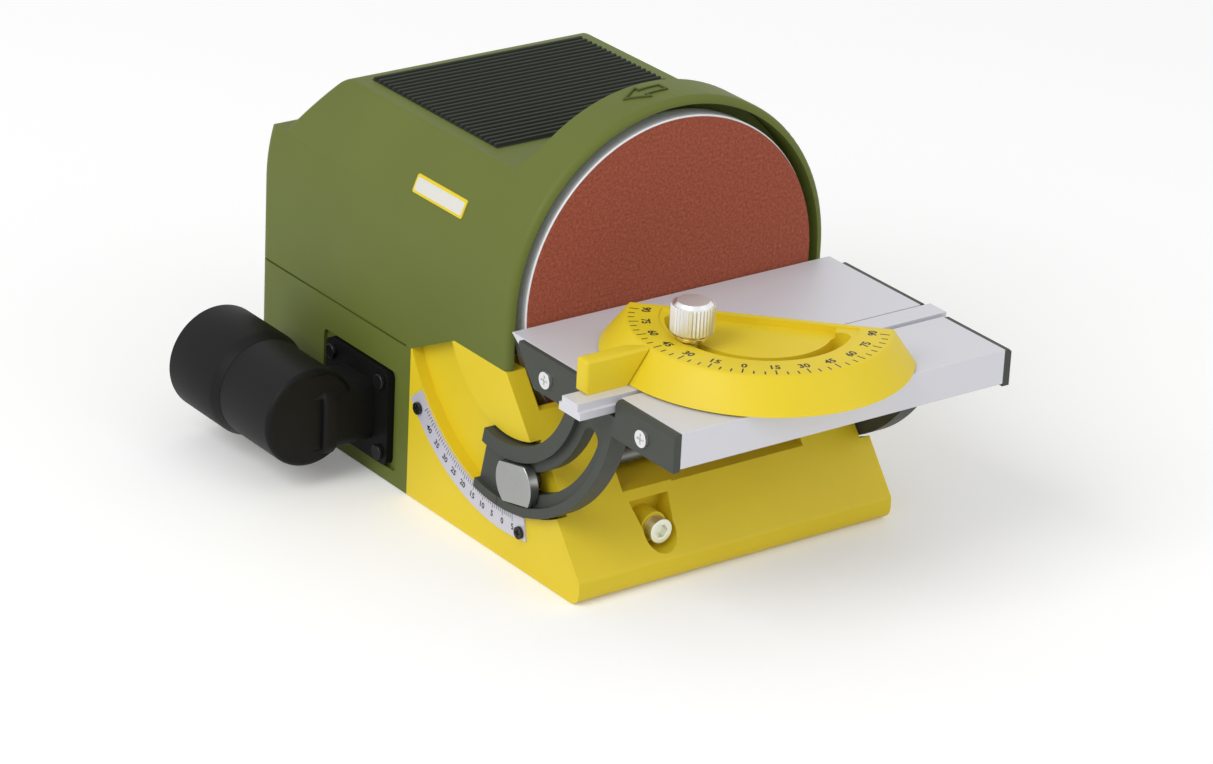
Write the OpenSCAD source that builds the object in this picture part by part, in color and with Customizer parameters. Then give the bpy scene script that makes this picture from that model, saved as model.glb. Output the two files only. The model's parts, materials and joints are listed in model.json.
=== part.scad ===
// Benchtop disc sander: motor housing, dust hopper base, tilting table and mitre gauge.
// X runs to the right as seen by the operator, Y runs back along the motor axis, Z is up.
// The bench is Z = 0 and the sanding face is Y = 0.

/* [Disc and drive] */
// Diameter of the sanding disc
disc_d = 125; // [115:1:130]
// Thickness of the aluminium disc
disc_t = 8; // [6:0.5:10]
// Thickness of the abrasive sheet
abrasive_t = 0.8; // [0.5:0.1:1.5]
// Height of the disc axis above the bench
axis_h = 90; // [88:0.5:96]
// Diameter of the armature shaft
shaft_d = 8; // [6:0.5:9]
// Outer diameter of the motor can
can_d = 64; // [60:1:72]
// Length of the motor can
can_len = 108; // [104:1:112]

/* [Housing] */
// Wall of the moulded shells
wall = 3; // [2.5:0.25:3.5]
// Gap between the disc rim and the ring around it
ring_gap = 4; // [3:0.5:5]
// Distance of the ring's front edge behind the sanding face
ring_front = 1; // [0.5:0.25:2]
// Length of the ring that stands above the roof
ring_len = 19; // [15:1:24]
// Drop from the ring's top to the flat roof
roof_drop = 24.5; // [18:0.5:28]
// Distance of the rear wall behind the sanding face
rear_y = 161.5; // [158:0.5:175]
// Distance of the roof's rear edge behind the sanding face
roof_rear_y = 131; // [126:1:136]
// Height of the ledge at the rear
ledge_h = 110; // [104:1:116]
// Depth of the ledge at the rear
ledge_len = 11; // [8:0.5:14]
// Height of the seam between the two green shells
seam_h = 57; // [54:0.5:60]
// Distance of the joint between lower shell and base behind the sanding face
joint_y = 60; // [59:0.5:62]
// Depth of the seam groove
seam_groove = 0.8; // [0.4:0.1:1.2]

/* [Roof mat] */
// Length of the rubber mat along the motor axis
mat_len = 80; // [70:1:84]
// Distance of the mat's front edge behind the ring
mat_gap = 24; // [20:1:26]
// Border of the roof left bare at each side of the mat
mat_border = 6.5; // [4:0.5:10]
// Thickness of the mat under its ribs
mat_t = 2; // [1.5:0.25:2.5]
// Number of ribs on the mat
mat_ribs = 26; // [20:1:30]

/* [Base] */
// Distance of the foot's front face before the sanding face
foot_front = 47; // [44:0.5:52]
// Height of the foot's upright front face
foot_h = 9; // [7:0.5:12]
// Drop from the table's top to the tops of the cheeks beside the disc
cheek_drop = 16.7; // [15:0.1:19]
// Thickness of the cheeks
cheek_t = 7.8; // [7:0.2:9]
// Height of the slope's top edge beside the cheeks
tower_h = 58; // [54:0.5:62]
// Half width of the gap between the two towers
tower_gap = 40; // [34:0.5:44]
// Height of the shelf between the towers
shelf_h = 30; // [28:0.5:31]
// Floor of the base and of the lower shell
floor_t = 4; // [3:0.5:5]
// Depth of the quadrant recess in the base's sides
recess_depth = 4.5; // [3.5:0.25:5]

/* [Table] */
// Depth of the table from its rear edge to its front
table_d = 98; // [90:1:104]
// Height of the table top above the bench
table_h = 87.2; // [86:0.2:92]
// Height of the table's front skirt
table_t = 13; // [11:0.5:14]
// Thickness of the table's plate
plate_t = 5; // [4.5:0.25:6]
// Gap between the table's rear edge and the sanding face
table_gap = 2; // [1.5:0.25:3]
// Thickness of the end brackets
bracket_t = 3; // [2.5:0.25:4]
// Inner radius of the bracket's quadrant
quad_in = 40.5; // [38:0.5:42]
// Outer radius of the bracket's quadrant
quad_out = 66; // [64:0.5:67]
// Angle of the quadrant's rear end past the vertical
quad_end = 13; // [10:0.5:14]
// Largest tilt of the table downwards
tilt_down = 50; // [40:1:50]
// Largest tilt of the table upwards
tilt_up = 5; // [3:0.5:6]

/* [Clamp] */
// Radius on which the clamp bolt sits
clamp_r = 54; // [53:0.25:55]
// Angle of the clamp bolt before the vertical
clamp_angle = 12; // [10:0.5:13]
// Diameter of the clamp rod
clamp_rod_d = 6; // [5:0.5:7]
// Width across the flats of the clamp head
clamp_flats = 14.6; // [13:0.2:15]
// Diameter of the clamp head's round ends
clamp_head_d = 21; // [18:0.5:22]
// Diameter of the clamp knob
clamp_knob_d = 28; // [24:1:32]

/* [Mitre gauge] */
// Length of the slide bar
bar_len = 160; // [150:1:170]
// Width of the slide bar
bar_w = 12; // [10:0.5:14]
// Distance of the slide bar's left end from the middle of the table
bar_left = 87; // [80:1:92]
// Distance of the groove's middle before the sanding face
groove_y = 60; // [56:0.5:64]
// Distance of the protractor's pivot left of the middle
pivot_x = 8; // [4:0.5:12]
// Radius of the protractor's skirt at the table
gauge_r = 54.5; // [52:0.5:56]
// Radius of the protractor's scale face
gauge_top_r = 46; // [44:0.5:48]
// Height of the protractor
gauge_h = 11.6; // [10:0.2:13]
// Angle set on the protractor at rest
gauge_set = 45; // [30:1:60]
// Radius of the arc slot in the protractor
slot_r = 29; // [28:0.5:30]
// Width of the arc slot in the protractor
slot_w = 7; // [6:0.25:7.5]
// Half of the protractor's swing to each side of zero
gauge_swing = 75; // [60:1:78]
// Diameter of the gauge knob
knob_d = 15.5; // [13:0.5:17]
// Height of the gauge knob's knurled part
knob_h = 11; // [9:0.5:13]

/* [Angle scale] */
// Width of the scale strip
scale_w = 8.6; // [7:0.1:9]
// Thickness of the scale strip
scale_t = 0.8; // [0.5:0.1:1]
// Front end of the scale strip, before the vertical
scale_front = 11; // [9:0.5:12]
// Rear end of the scale strip, past the vertical
scale_rear = 51; // [46:0.5:52]

/* [Dust port] */
// Distance of the port's middle behind the sanding face
port_y = 92; // [90:0.5:96]
// Height of the port's flange centre
port_h = 25; // [24:0.5:27]
// Length of the flange
flange_len = 41; // [38:0.5:44]
// Height of the flange
flange_h = 37; // [35:0.5:38]
// Side of the square neck
neck_w = 24; // [21:0.5:25]
// Outer diameter of the elbow barrel
barrel_d = 37.6; // [36:0.2:38.4]
// Outer diameter of the hose sleeve
sleeve_d = 41; // [40.4:0.2:42.4]
// Distance of the barrel's axis from the side wall
barrel_out = 28; // [25:0.5:30]
// Length of the barrel before the sleeve
barrel_len = 32; // [30:0.5:35]
// Length of the hose sleeve
sleeve_len = 33; // [28:0.5:38]
// Wall of the elbow and its sleeve
port_wall = 2.5; // [2:0.1:2.8]

/* [Controls] */
// Distance of the switch behind the sanding face
switch_y = 92; // [86:1:96]
// Distance of the speed dial behind the sanding face
dial_y = 128; // [124:1:132]
// Height of the controls
control_h = 74; // [72:0.5:78]
// Diameter of the speed dial
dial_d = 22; // [18:0.5:24]

/* [Hidden] */
$fn = 96;

// Clearances
fit = 0.1;      // between pieces that are fixed to each other
run = 0.05;     // radial, shaft in a bore
slide = 0.1;    // between a slide and its groove
free = 0.5;     // between pieces that pass each other
eps = 0.02;     // overlap of a cutter with the face it opens
big = 400;      // larger than the whole machine

// Housing
ring_r = disc_d / 2 + ring_gap;
half_w = ring_r + wall;
inner_half = half_w - wall;
ring_top = axis_h + half_w;
roof_h = ring_top - roof_drop;
roof_half = sqrt(pow(half_w, 2) - pow(roof_h - axis_h, 2));
ring_back = ring_front + ring_len;
roof_corner = 12;
roof_bend = 9;
ledge_bend = 4;
edge_r = 2.5;
corner_r = 5;
disc_back = abrasive_t + disc_t;
hub_flange_t = 2.7;
well_back = disc_back + hub_flange_t + 1.5;
bulkhead_back = well_back + wall;
rear_in = rear_y - wall;
ledge_y = rear_y - ledge_len;

// Tilt axis of the table, on the line where the table meets the disc
tilt_y = -table_gap / 2;
cheek_h = table_h - cheek_drop;
parting_angle = quad_end + tilt_down + 1;
parting_in_y = tilt_y + (table_h - cheek_h) * tan(parting_angle);
recess_r = quad_out + 1;
island_r = quad_in - 1;

// Slope of the base
slope_run = (foot_front + ring_front) / (cheek_h - foot_h);
slope_wall = wall * sqrt(1 + pow(slope_run, 2));
function slope_at(z) = -foot_front + (z - foot_h) * slope_run;
base_in = half_w - cheek_t;
tower_back = -6;

// Table
deck_half = half_w + free;
bracket_out = deck_half + bracket_t;
quad_face = half_w - recess_depth + free;
table_rear = -table_gap;
table_front = table_rear - table_d;
skirt_t = 4;
tip_land = 0.4;
bevel_run = 1.43;
bracket_rear = table_rear - 7;
bracket_rake = 11;
bracket_top = table_h - 0.2;
bracket_bottom = table_h - table_t - 1;
bracket_bevel = 1.5;
screw_ys = [table_rear - 25.7, table_front + 17];
screw_z = table_h - 7.6;
deck_screw_r = 1.6;

// Clamp
clamp_y = tilt_y - clamp_r * sin(clamp_angle);
clamp_z = table_h - clamp_r * cos(clamp_angle);
clamp_neck_r = 3.8;
slot_half = clamp_neck_r + 0.2;
head_depth = 2.5;
head_seat = bracket_out - head_depth;
head_out = bracket_out + 1.5;
head_half_angle = asin(clamp_head_d / 2 / clamp_r) + 1;
stud_half_angle = asin(slot_half / clamp_r) + 0.5;
slot_play = 0.75;

// Mitre gauge
groove_mid = -groove_y;
groove_floor = table_h - plate_t - 0.2;
bar_low = groove_floor + 0.2;
bar_step = bar_low + 2.8;
bar_top = table_h + 0.5;
bar_rib_w = bar_w - 3;
gauge_low = bar_top + 0.2;
gauge_top = gauge_low + gauge_h;
fence_off = 6;
fence_t = 3;
pivot_r = 3;
knob_x = -pivot_x - slot_r;
stud_r = 2.5;
collar_r = 5.5;
collar_h = 2.8;
gauge_clear = 0.6;
block_left = bar_left - 6.5;
block_w = 6.5;
block_top = gauge_top + 0.5;

// Motor, from the bulkhead back
shield_r = can_d / 2;
shield_t = 4;
can_t = 3;
can_in = can_d / 2 - can_t;
can_front = bulkhead_back + shield_t;
can_back = can_front + can_len;
bearing_r = 11;
bearing_t = 7;
bearing_boss = 14.5;
shaft_r = shaft_d / 2;
front_bearing_y = can_front + 2;
fan_y = front_bearing_y + bearing_t + 3;
fan_t = 9;
core_r = 23;
core_y = fan_y + fan_t + 12;
core_len = 46;
magnet_in = core_r + 0.8;
magnet_y = core_y - 3;
magnet_len = core_len + 6;
winding_t = 8;
comm_r = 10.5;
comm_y = core_y + core_len + winding_t + 2;
comm_len = 14;
brush_y = comm_y + comm_len / 2;
brush_w = 7;
brush_t = 5;
brush_out = 20;
holder_out = can_in - fit;
rear_bearing_y = can_back + shield_t + 2;
shaft_back = rear_bearing_y + bearing_t + 2;
hub_r = 9;
hub_back = bulkhead_back + 2;
hub_hole = hub_r + 2;
hub_flange_r = 20;
mount_r = 26;
motor_screw_r = 1.6;
motor_head_r = 3;
motor_head_t = 2;

// Tie bolt of the base
tie_x = -30.5;
tie_z = clamp_z / 2 + 0.3;
tie_boss_r = 5.5;
tie_head_r = 4.6;
tie_head_y = slope_at(tie_z) + 4;
tie_r = 3;
tie_nut_y = joint_y + wall;

// Dust duct and port
duct_in = 20;
duct_h = 46;
duct_back = port_y + flange_len / 2 + 2;
port_recess = 1.5;
recess_border = 4;
flange_t = 3;
flange_face = half_w - port_recess;
barrel_x = -(half_w + barrel_out);
barrel_front = port_y - neck_w / 2 + 1;
barrel_back = barrel_front + barrel_len;
sleeve_back = barrel_back + sleeve_len;
barrel_h = port_h + 3;
hose_r = sleeve_d / 2 - port_wall;
sleeve_lap = 8;

// Shell screws
boss_r = 4.5;
boss_x = half_w - 11;
boss_ys = [joint_y + 9, rear_y - 10.5];
shell_screw_r = 1.8;
shell_head_r = 3.4;
shell_head_t = 4;
shell_seat = seam_h - 26;
boss_top = seam_h + 16;

// Controls on the right wall
switch_w = 19;
switch_h = 13;
bezel = 2.5;
bezel_t = 1.2;
rocker_gap = 0.4;
rocker_r = 11;
dial_t = 8;
spindle_r = 3;

// Shapes that repeat

// Cylinder along Y from y0 to y1, centred on x and z
module ycyl(r, y0, y1, x = 0, z = 0) {
    translate([x, y0, z]) rotate([-90, 0, 0]) cylinder(r = r, h = y1 - y0);
}

// Cylinder along X from x0 to x1, centred on y and z
module xcyl(r, x0, x1, y = 0, z = 0) {
    translate([x0, y, z]) rotate([0, 90, 0]) cylinder(r = r, h = x1 - x0);
}

// Cylinder along Z from z0 to z1, centred on x and y
module zcyl(r, z0, z1, x = 0, y = 0) {
    translate([x, y, z0]) cylinder(r = r, h = z1 - z0);
}

// Box between two corners
module box(low, high) {
    translate(low) cube(high - low);
}

// Outline in Y and Z, drawn out along X
module side_extrude(x0, x1) {
    translate([x0, 0, 0]) rotate([90, 0, 90]) linear_extrude(x1 - x0) children();
}

// Outline in X and Z, drawn out along Y
module front_extrude(y0, y1) {
    translate([0, y1, 0]) rotate([90, 0, 0]) linear_extrude(y1 - y0) children();
}

// Copies the children to the right side too
module both_sides() {
    children();
    mirror([1, 0, 0]) children();
}

// Rectangle about the origin with round corners
module round_rect(w, h, r) {
    square([w - 2 * r, h], center = true);
    square([w, h - 2 * r], center = true);
    for (sx = [-1, 1], sy = [-1, 1]) translate([sx * (w / 2 - r), sy * (h / 2 - r)]) circle(r = r);
}

// Half profile of a solid along Z, revolved
module revolve(points) {
    rotate_extrude() polygon(points);
}

// Sector of a ring about the tilt axis, in the side outline; angles count back from straight down
module tilt_sector(r0, r1, a0, a1) {
    reach = 2 * r1;
    steps = 12;
    translate([tilt_y, table_h]) intersection() {
        difference() {
            circle(r = r1);
            circle(r = r0);
        }
        polygon(concat([[0, 0]], [for (i = [0:steps]) let (a = a0 + (a1 - a0) * i / steps)
            reach * [sin(a), -cos(a)]]));
    }
}

// Round hole about the tilt axis' radius, in the side outline
module tilt_hole(r, a, hole) {
    translate([tilt_y + r * sin(a), table_h - r * cos(a)]) circle(r = hole);
}

// Slot along an arc about the tilt axis with round ends, in the side outline
module tilt_slot(r, half, a0, a1) {
    tilt_sector(r - half, r + half, a0, a1);
    tilt_hole(r, a0, half);
    tilt_hole(r, a1, half);
}

// Housing shells

// Upright walls of the motor housing up to the height z1, with rounded front and rear corners
module wall_solid(half, y0, y1, front_r, rear_r, z1) {
    linear_extrude(z1) difference() {
        translate([-half, y0]) square([2 * half, y1 - y0]);
        both_sides() {
            translate([half - front_r, y0]) corner_cut(front_r);
            translate([half - rear_r, y1]) mirror([0, 1]) corner_cut(rear_r);
        }
    }
}

// Motor housing: half round above the axis, upright below it
module arch_solid(half, y0, y1, front_r, rear_r) {
    translate([0, y0, axis_h]) rotate([-90, 0, 0]) rotate([0, 0, 180])
        rotate_extrude(angle = 180) difference() {
            square([half, y1 - y0]);
            translate([half - front_r, 0]) corner_cut(front_r);
            translate([half - rear_r, y1 - y0]) mirror([0, 1]) corner_cut(rear_r);
        }
    wall_solid(half, y0, y1, front_r, rear_r, axis_h);
}

// What rounding takes off a corner whose tip is at [r, 0]
module corner_cut(r) {
    difference() {
        translate([0, -eps]) square([r + eps, r + eps]);
        translate([0, r]) circle(r = r);
    }
}

// Side outline of the upper shell, below the ring; grow moves the walls outwards
module upper_outline(grow) {
    slant = atan2(ledge_y - roof_rear_y, roof_h - ledge_h);
    roof_c = [roof_rear_y + grow - roof_bend * tan((90 - slant) / 2), roof_h + grow - roof_bend];
    ledge_c = [rear_y + grow - ledge_bend, ledge_h + grow - ledge_bend];
    polygon(concat([[ring_front, cheek_h], [ring_front, ring_top + 1], [roof_c[0], ring_top + 1]],
                   bend(roof_c, roof_bend, 90, slant), [[ledge_y + grow, ledge_h + grow]],
                   bend(ledge_c, ledge_bend, 90, 0), [[rear_y + grow, seam_h], [joint_y, seam_h],
                   [joint_y, parting_z(joint_y)], [parting_in_y, cheek_h]]));
}

// Points round a bend about its centre, from one direction to another
function bend(centre, r, from, to, steps = 6) = [for (i = [0:steps])
    let (a = from + (to - from) * i / steps) centre + r * [cos(a), sin(a)]];

// Height of the slanted parting between base and upper shell
function parting_z(y) = max(seam_h, table_h - (y - tilt_y) / tan(parting_angle));

// Plan of the flat roof, with round corners beside the ring
module roof_plan(grow) {
    back = ring_back + grow;
    flat = roof_half - roof_corner + 1.5;
    translate([-flat, back]) square([2 * flat, big]);
    translate([-big / 2, back + roof_corner]) square([big, big]);
    for (s = [-1, 1]) translate([s * flat, back + roof_corner]) circle(r = roof_corner);
}

// Recess for the mat, in the roof's plan
module mat_plan(grow) {
    half = roof_half - mat_border + grow;
    y0 = ring_back + mat_gap - grow;
    translate([-half, y0]) square([2 * half, mat_len + 2 * grow]);
}

module upper_shell_outer() {
    difference() {
        intersection() {
            arch_solid(half_w, ring_front, rear_y, edge_r, corner_r);
            side_extrude(-big / 2, big / 2) upper_outline(0);
        }
        translate([0, 0, roof_h]) linear_extrude(big) roof_plan(0);
    }
}

module upper_shell_cavity() {
    difference() {
        intersection() {
            arch_solid(inner_half, bulkhead_back, rear_in, edge_r, corner_r);
            side_extrude(-big / 2, big / 2) translate([0, -eps]) upper_outline(-wall);
        }
        translate([0, 0, roof_h - wall - mat_t]) linear_extrude(big) roof_plan(-wall);
    }
}

// Bosses for the shell screws, standing up from z0 to z1
module screw_bosses(z0, z1) {
    both_sides() for (y = boss_ys) {
        zcyl(boss_r, z0, z1, boss_x, y);
        box([boss_x, y - wall / 2, z0], [half_w - wall / 2, y + wall / 2, z1]);
    }
}

// Passages of the disc hub, the motor screws and the motor itself through the bulkhead and the walls
module motor_passages() {
    ycyl(hub_hole, well_back - 1, bulkhead_back + 1, 0, axis_h);
    for (a = [45:90:359]) {
        x = mount_r * cos(a);
        z = axis_h + mount_r * sin(a);
        ycyl(motor_screw_r + 3 * fit, well_back - 1, bulkhead_back + 1, x, z);
        ycyl(motor_head_r + 3 * fit, well_back - motor_head_t - 1, well_back, x, z);
    }
    ycyl(shield_r + free, bulkhead_back, joint_y + 2 * wall, 0, axis_h);
}

module upper_housing() {
    vent_w = 3;
    vent_h = 26;
    vents = 9;
    vent_pitch = 7;
    vent_z = seam_h + 10;
    color("olivedrab") difference() {
        union() {
            difference() {
                upper_shell_outer();
                upper_shell_cavity();
                // well for the disc
                ycyl(ring_r, ring_front - 1, well_back, 0, axis_h);
                box([-ring_r, ring_front - 1, seam_h - 1], [ring_r, well_back, axis_h]);
            }
            intersection() {
                upper_shell_outer();
                screw_bosses(seam_h, boss_top);
            }
        }
        motor_passages();
        // recess of the mat
        translate([0, 0, roof_h - mat_t]) linear_extrude(big) mat_plan(fit);
        // pilot holes of the shell screws
        both_sides() for (y = boss_ys) zcyl(shell_screw_r, seam_h - 1, boss_top - wall, boss_x, y);
        // openings of the controls
        box([half_w - 2 * wall, switch_y - switch_w / 2, control_h - switch_h / 2],
            [half_w + 1, switch_y + switch_w / 2, control_h + switch_h / 2]);
        xcyl(spindle_r + free, half_w - 2 * wall, half_w + 1, dial_y, control_h);
        // air slots in the rear wall
        for (i = [0:vents - 1]) translate([(i - (vents - 1) / 2) * vent_pitch, 0, vent_z])
            box([-vent_w / 2, rear_in - 1, 0], [vent_w / 2, rear_y + 1, vent_h]);
        // shadow line along the seam
        difference() {
            box([-big / 2, joint_y + wall, seam_h - 1], [big / 2, big, seam_h + seam_groove]);
            wall_solid(half_w - seam_groove, ring_front, rear_y - seam_groove, edge_r, corner_r, axis_h);
        }
    }
}

module lower_housing() {
    port_hole = neck_w - 2 * port_wall;
    foot_vents = 7;
    foot_vent_y = 24;
    foot_vent_pitch = 8;
    foot_vent_w = 3;
    foot_vent_len = 36;
    color("olivedrab") difference() {
        union() {
            difference() {
                intersection() {
                    wall_solid(half_w, ring_front, rear_y, edge_r, corner_r, seam_h - fit);
                    box([-half_w - 1, joint_y + fit, 0], [half_w + 1, rear_y + 1, seam_h]);
                }
                intersection() {
                    wall_solid(inner_half, ring_front, rear_in, edge_r, corner_r, seam_h + 1);
                    box([-half_w, joint_y + wall, floor_t], [half_w, rear_y, seam_h + 2]);
                }
            }
            screw_bosses(0, seam_h - fit);
            // dust duct on the left
            box([-inner_half, joint_y + wall, 0], [-duct_in, duct_back, duct_h]);
            // backing of the port's recess
            box([-half_w + port_recess, port_y - flange_len / 2 - recess_border, 0],
                [-half_w + wall + port_recess, duct_back, duct_h]);
        }
        // inside of the duct, open to the base
        box([-half_w + wall + port_recess, joint_y - 1, floor_t],
            [-duct_in - wall, duct_back - wall, duct_h - wall]);
        // opening for the wiring, right of the duct
        box([-duct_in + wall, joint_y - 1, floor_t + 12], [inner_half - 14, joint_y + wall + 1, seam_h - 8]);
        // recess and hole of the dust port
        translate([-half_w - 1, port_y, port_h]) rotate([90, 0, 90]) linear_extrude(port_recess + 1)
            round_rect(flange_len + 2 * recess_border, flange_h + 2, 2);
        translate([-half_w - 1, port_y, port_h]) rotate([90, 0, 90]) linear_extrude(wall + port_recess + 2)
            round_rect(port_hole, port_hole, 4);
        for (p = port_screw_places()) xcyl(1.3, -half_w - 1, -half_w + port_recess + wall - 0.5, p[0], p[1]);
        // shell screws from below, with room for their heads
        both_sides() for (y = boss_ys) {
            zcyl(shell_screw_r + fit, -1, seam_h + 1, boss_x, y);
            zcyl(shell_head_r + 2 * fit, -1, shell_seat, boss_x, y);
        }
        motor_passages();
        // tie bolt and the two inner base screws
        ycyl(tie_r + fit, joint_y - 1, joint_y + wall + 1, tie_x, tie_z);
        base_screw_holes(base_screw_r + free, joint_y - 1, joint_y + wall + 1);
        // air slots in the floor, under the motor
        for (i = [0:foot_vents - 1]) translate([0, joint_y + foot_vent_y + i * foot_vent_pitch, 0])
            box([0, 0, -1], [foot_vent_len, foot_vent_w, floor_t + 1]);
        // cord inlet
        ycyl(gland_r + fit, rear_in - 1, rear_y + 1, gland_x, gland_z);
    }
}

gland_r = 6;
gland_x = 40;
gland_z = 22;

// Centres of the four port screws in Y and Z
function port_screw_places() = [for (sy = [-1, 1], sz = [-1, 1])
    [port_y + sy * (flange_len / 2 - 4.5), port_h + sz * (flange_h / 2 - 4.5)]];

// Front base

// Side outline of the base
module base_outline() {
    round_r = 5;
    difference() {
        polygon([[joint_y, 0], [-foot_front, 0], [-foot_front, foot_h], [ring_front, cheek_h],
                 [parting_in_y, cheek_h], [joint_y, parting_z(joint_y)]]);
        translate([-foot_front + round_r, 0]) mirror([1, 0]) corner_cut(round_r);
    }
}

// Inside of the hopper, before the bulkhead
module hopper_outline() {
    low = -foot_front + wall;
    z_low = foot_h + (low - slope_wall + foot_front) / slope_run;
    polygon([[well_back, floor_t], [low, floor_t], [low, max(z_low, floor_t + 0.5)],
             [slope_at(cheek_h) + slope_wall, cheek_h], [slope_at(cheek_h) + slope_wall, big],
             [well_back, big]]);
}

// Inner screws that hold the base to the lower housing, on both sides of the motor and above the duct
base_screw_r = 1.7;
base_head_r = 3.4;
base_head_t = 2.4;
base_screw_xs = [-shield_r - base_head_r - 4 * free, base_in - 10];
base_screw_z = (duct_h + seam_h) / 2;

module base_screw_holes(r, y0, y1) {
    for (x = base_screw_xs) ycyl(r, y0, y1, x, base_screw_z);
}

module front_base() {
    pocket_w = 17;
    pocket_r = tie_boss_r + 1.2;
    pocket_top = tie_z + 10;
    pocket_back = tie_head_y + 8;
    window_h = duct_h - wall;
    color("gold") difference() {
        union() {
            difference() {
                side_extrude(-half_w, half_w) base_outline();
                side_extrude(-base_in, base_in) hopper_outline();
                // behind the bulkhead, under the motor
                box([-base_in, bulkhead_back, floor_t], [base_in, joint_y - wall, big]);
                box([-duct_in + wall, bulkhead_back, duct_h], [base_in - 16, joint_y + 1, big]);
                // between the cheeks above the towers, and between the towers above the shelf
                box([-base_in, -big, tower_h], [base_in, well_back, big]);
                box([-tower_gap, -big, shelf_h], [tower_gap, well_back, big]);
            }
            intersection() {
                side_extrude(-half_w, half_w) base_outline();
                union() {
                    // shelf, and the towers' tops and inner walls
                    box([-tower_gap, -big / 2, shelf_h - wall], [tower_gap, tower_back, shelf_h]);
                    both_sides() {
                        box([tower_gap, -big / 2, shelf_h - wall], [tower_gap + wall, tower_back, tower_h]);
                        box([tower_gap, -big / 2, tower_h - wall], [base_in, tower_back, tower_h]);
                    }
                    // pocket and boss of the tie bolt
                    box([tie_x - pocket_w / 2 - wall, -foot_front, 0],
                        [tie_x + pocket_w / 2 + wall, pocket_back + wall, pocket_top + wall]);
                    ycyl(tie_boss_r, tie_head_y, joint_y, tie_x, tie_z);
                    box([tie_x - wall / 2, tie_head_y, 0], [tie_x + wall / 2, joint_y, tie_z]);
                    // dust duct behind the bulkhead
                    box([-base_in, bulkhead_back, duct_h - wall], [-duct_in, joint_y, duct_h]);
                    box([-duct_in - wall, bulkhead_back, 0], [-duct_in, joint_y, duct_h]);
                }
            }
        }
        // dust passage from the hopper to the duct, beside the tie bolt's boss
        difference() {
            box([-base_in + wall, well_back - 1, floor_t], [-duct_in - wall, joint_y + 1, window_h]);
            ycyl(tie_boss_r, tie_head_y, joint_y + 2, tie_x, tie_z);
            box([tie_x - wall / 2, tie_head_y, 0], [tie_x + wall / 2, joint_y + 2, tie_z]);
        }
        // ring shaped recesses for the quadrants in both sides
        both_sides() side_extrude(half_w - recess_depth, half_w + 1)
            translate([tilt_y, table_h]) difference() {
                circle(r = recess_r);
                circle(r = island_r);
            }
        // tapered pocket for the bolt head, which seats on the end of its boss
        difference() {
            union() {
                front_extrude(-big / 2, pocket_back) translate([tie_x, tie_z]) polygon([
                    [-pocket_w / 2, pocket_top - tie_z], [pocket_w / 2, pocket_top - tie_z],
                    [pocket_r - 0.5, 0], [-pocket_r + 0.5, 0]]);
                ycyl(pocket_r, -big / 2, pocket_back, tie_x, tie_z);
            }
            ycyl(tie_boss_r, tie_head_y, joint_y, tie_x, tie_z);
        }
        motor_passages();
        ycyl(tie_r + fit, tie_head_y, joint_y + 1, tie_x, tie_z);
        // clamp rod across the base
        xcyl(clamp_neck_r + 2 * fit, -half_w - 1, half_w + 1, clamp_y, clamp_z);
        // holes of the scale screws and of the inner base screws
        for (a = scale_screw_angles) side_extrude(-half_w - 1, -half_w + 4)
            tilt_hole(scale_mid, a, scale_screw_r + fit);
        base_screw_holes(base_screw_r + fit, joint_y - 9, joint_y + 1);
    }
}

// Angle scale on the left side of the base
scale_in = recess_r + 0.5;
scale_screw_r = 1.1;
scale_mid = scale_in + scale_w / 2 + 1.6;
scale_screw_angles = [-scale_front + 2.4, scale_rear - 4];

module angle_scale() {
    color("silver") difference() {
        side_extrude(-half_w - scale_t, -half_w)
            tilt_sector(scale_in, scale_in + scale_w, -scale_front, scale_rear);
        for (a = scale_screw_angles) side_extrude(-half_w - 2, -half_w + 1)
            tilt_hole(scale_mid, a, scale_screw_r + 4 * fit);
    }
}

module scale_screws() {
    head_r = 2.3;
    head_t = 1.2;
    slot_l = 3;
    slot_t = 0.6;
    color("dimgray") for (a = scale_screw_angles) translate([-half_w - scale_t, tilt_y + scale_mid * sin(a),
        table_h - scale_mid * cos(a)]) rotate([0, 90, 0]) difference() {
        union() {
            translate([0, 0, -head_t]) cylinder(r = head_r, h = head_t);
            cylinder(r = scale_screw_r, h = scale_t + 3.5);
        }
        for (t = [0, 90]) rotate(t) translate([-slot_l / 2, -slot_t / 2, -head_t - fit])
            cube([slot_l, slot_t, head_t / 2 + fit]);
    }
}

module roof_mat() {
    pitch = mat_len / mat_ribs;
    half = roof_half - mat_border;
    rib_w = pitch * 0.62;
    rib_h = 1.4;
    y0 = ring_back + mat_gap;
    color("darkslategray") translate([0, 0, roof_h - mat_t]) {
        side_extrude(-half, half) union() {
            translate([y0, 0]) square([mat_len, mat_t]);
            for (i = [0:mat_ribs - 1]) translate([y0 + (i + 0.5) * pitch, 0])
                polygon([[-rib_w / 2, mat_t / 2], [rib_w / 2, mat_t / 2], [rib_w / 3, mat_t + rib_h],
                         [-rib_w / 3, mat_t + rib_h]]);
        }
    }
}

// Dust port

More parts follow.
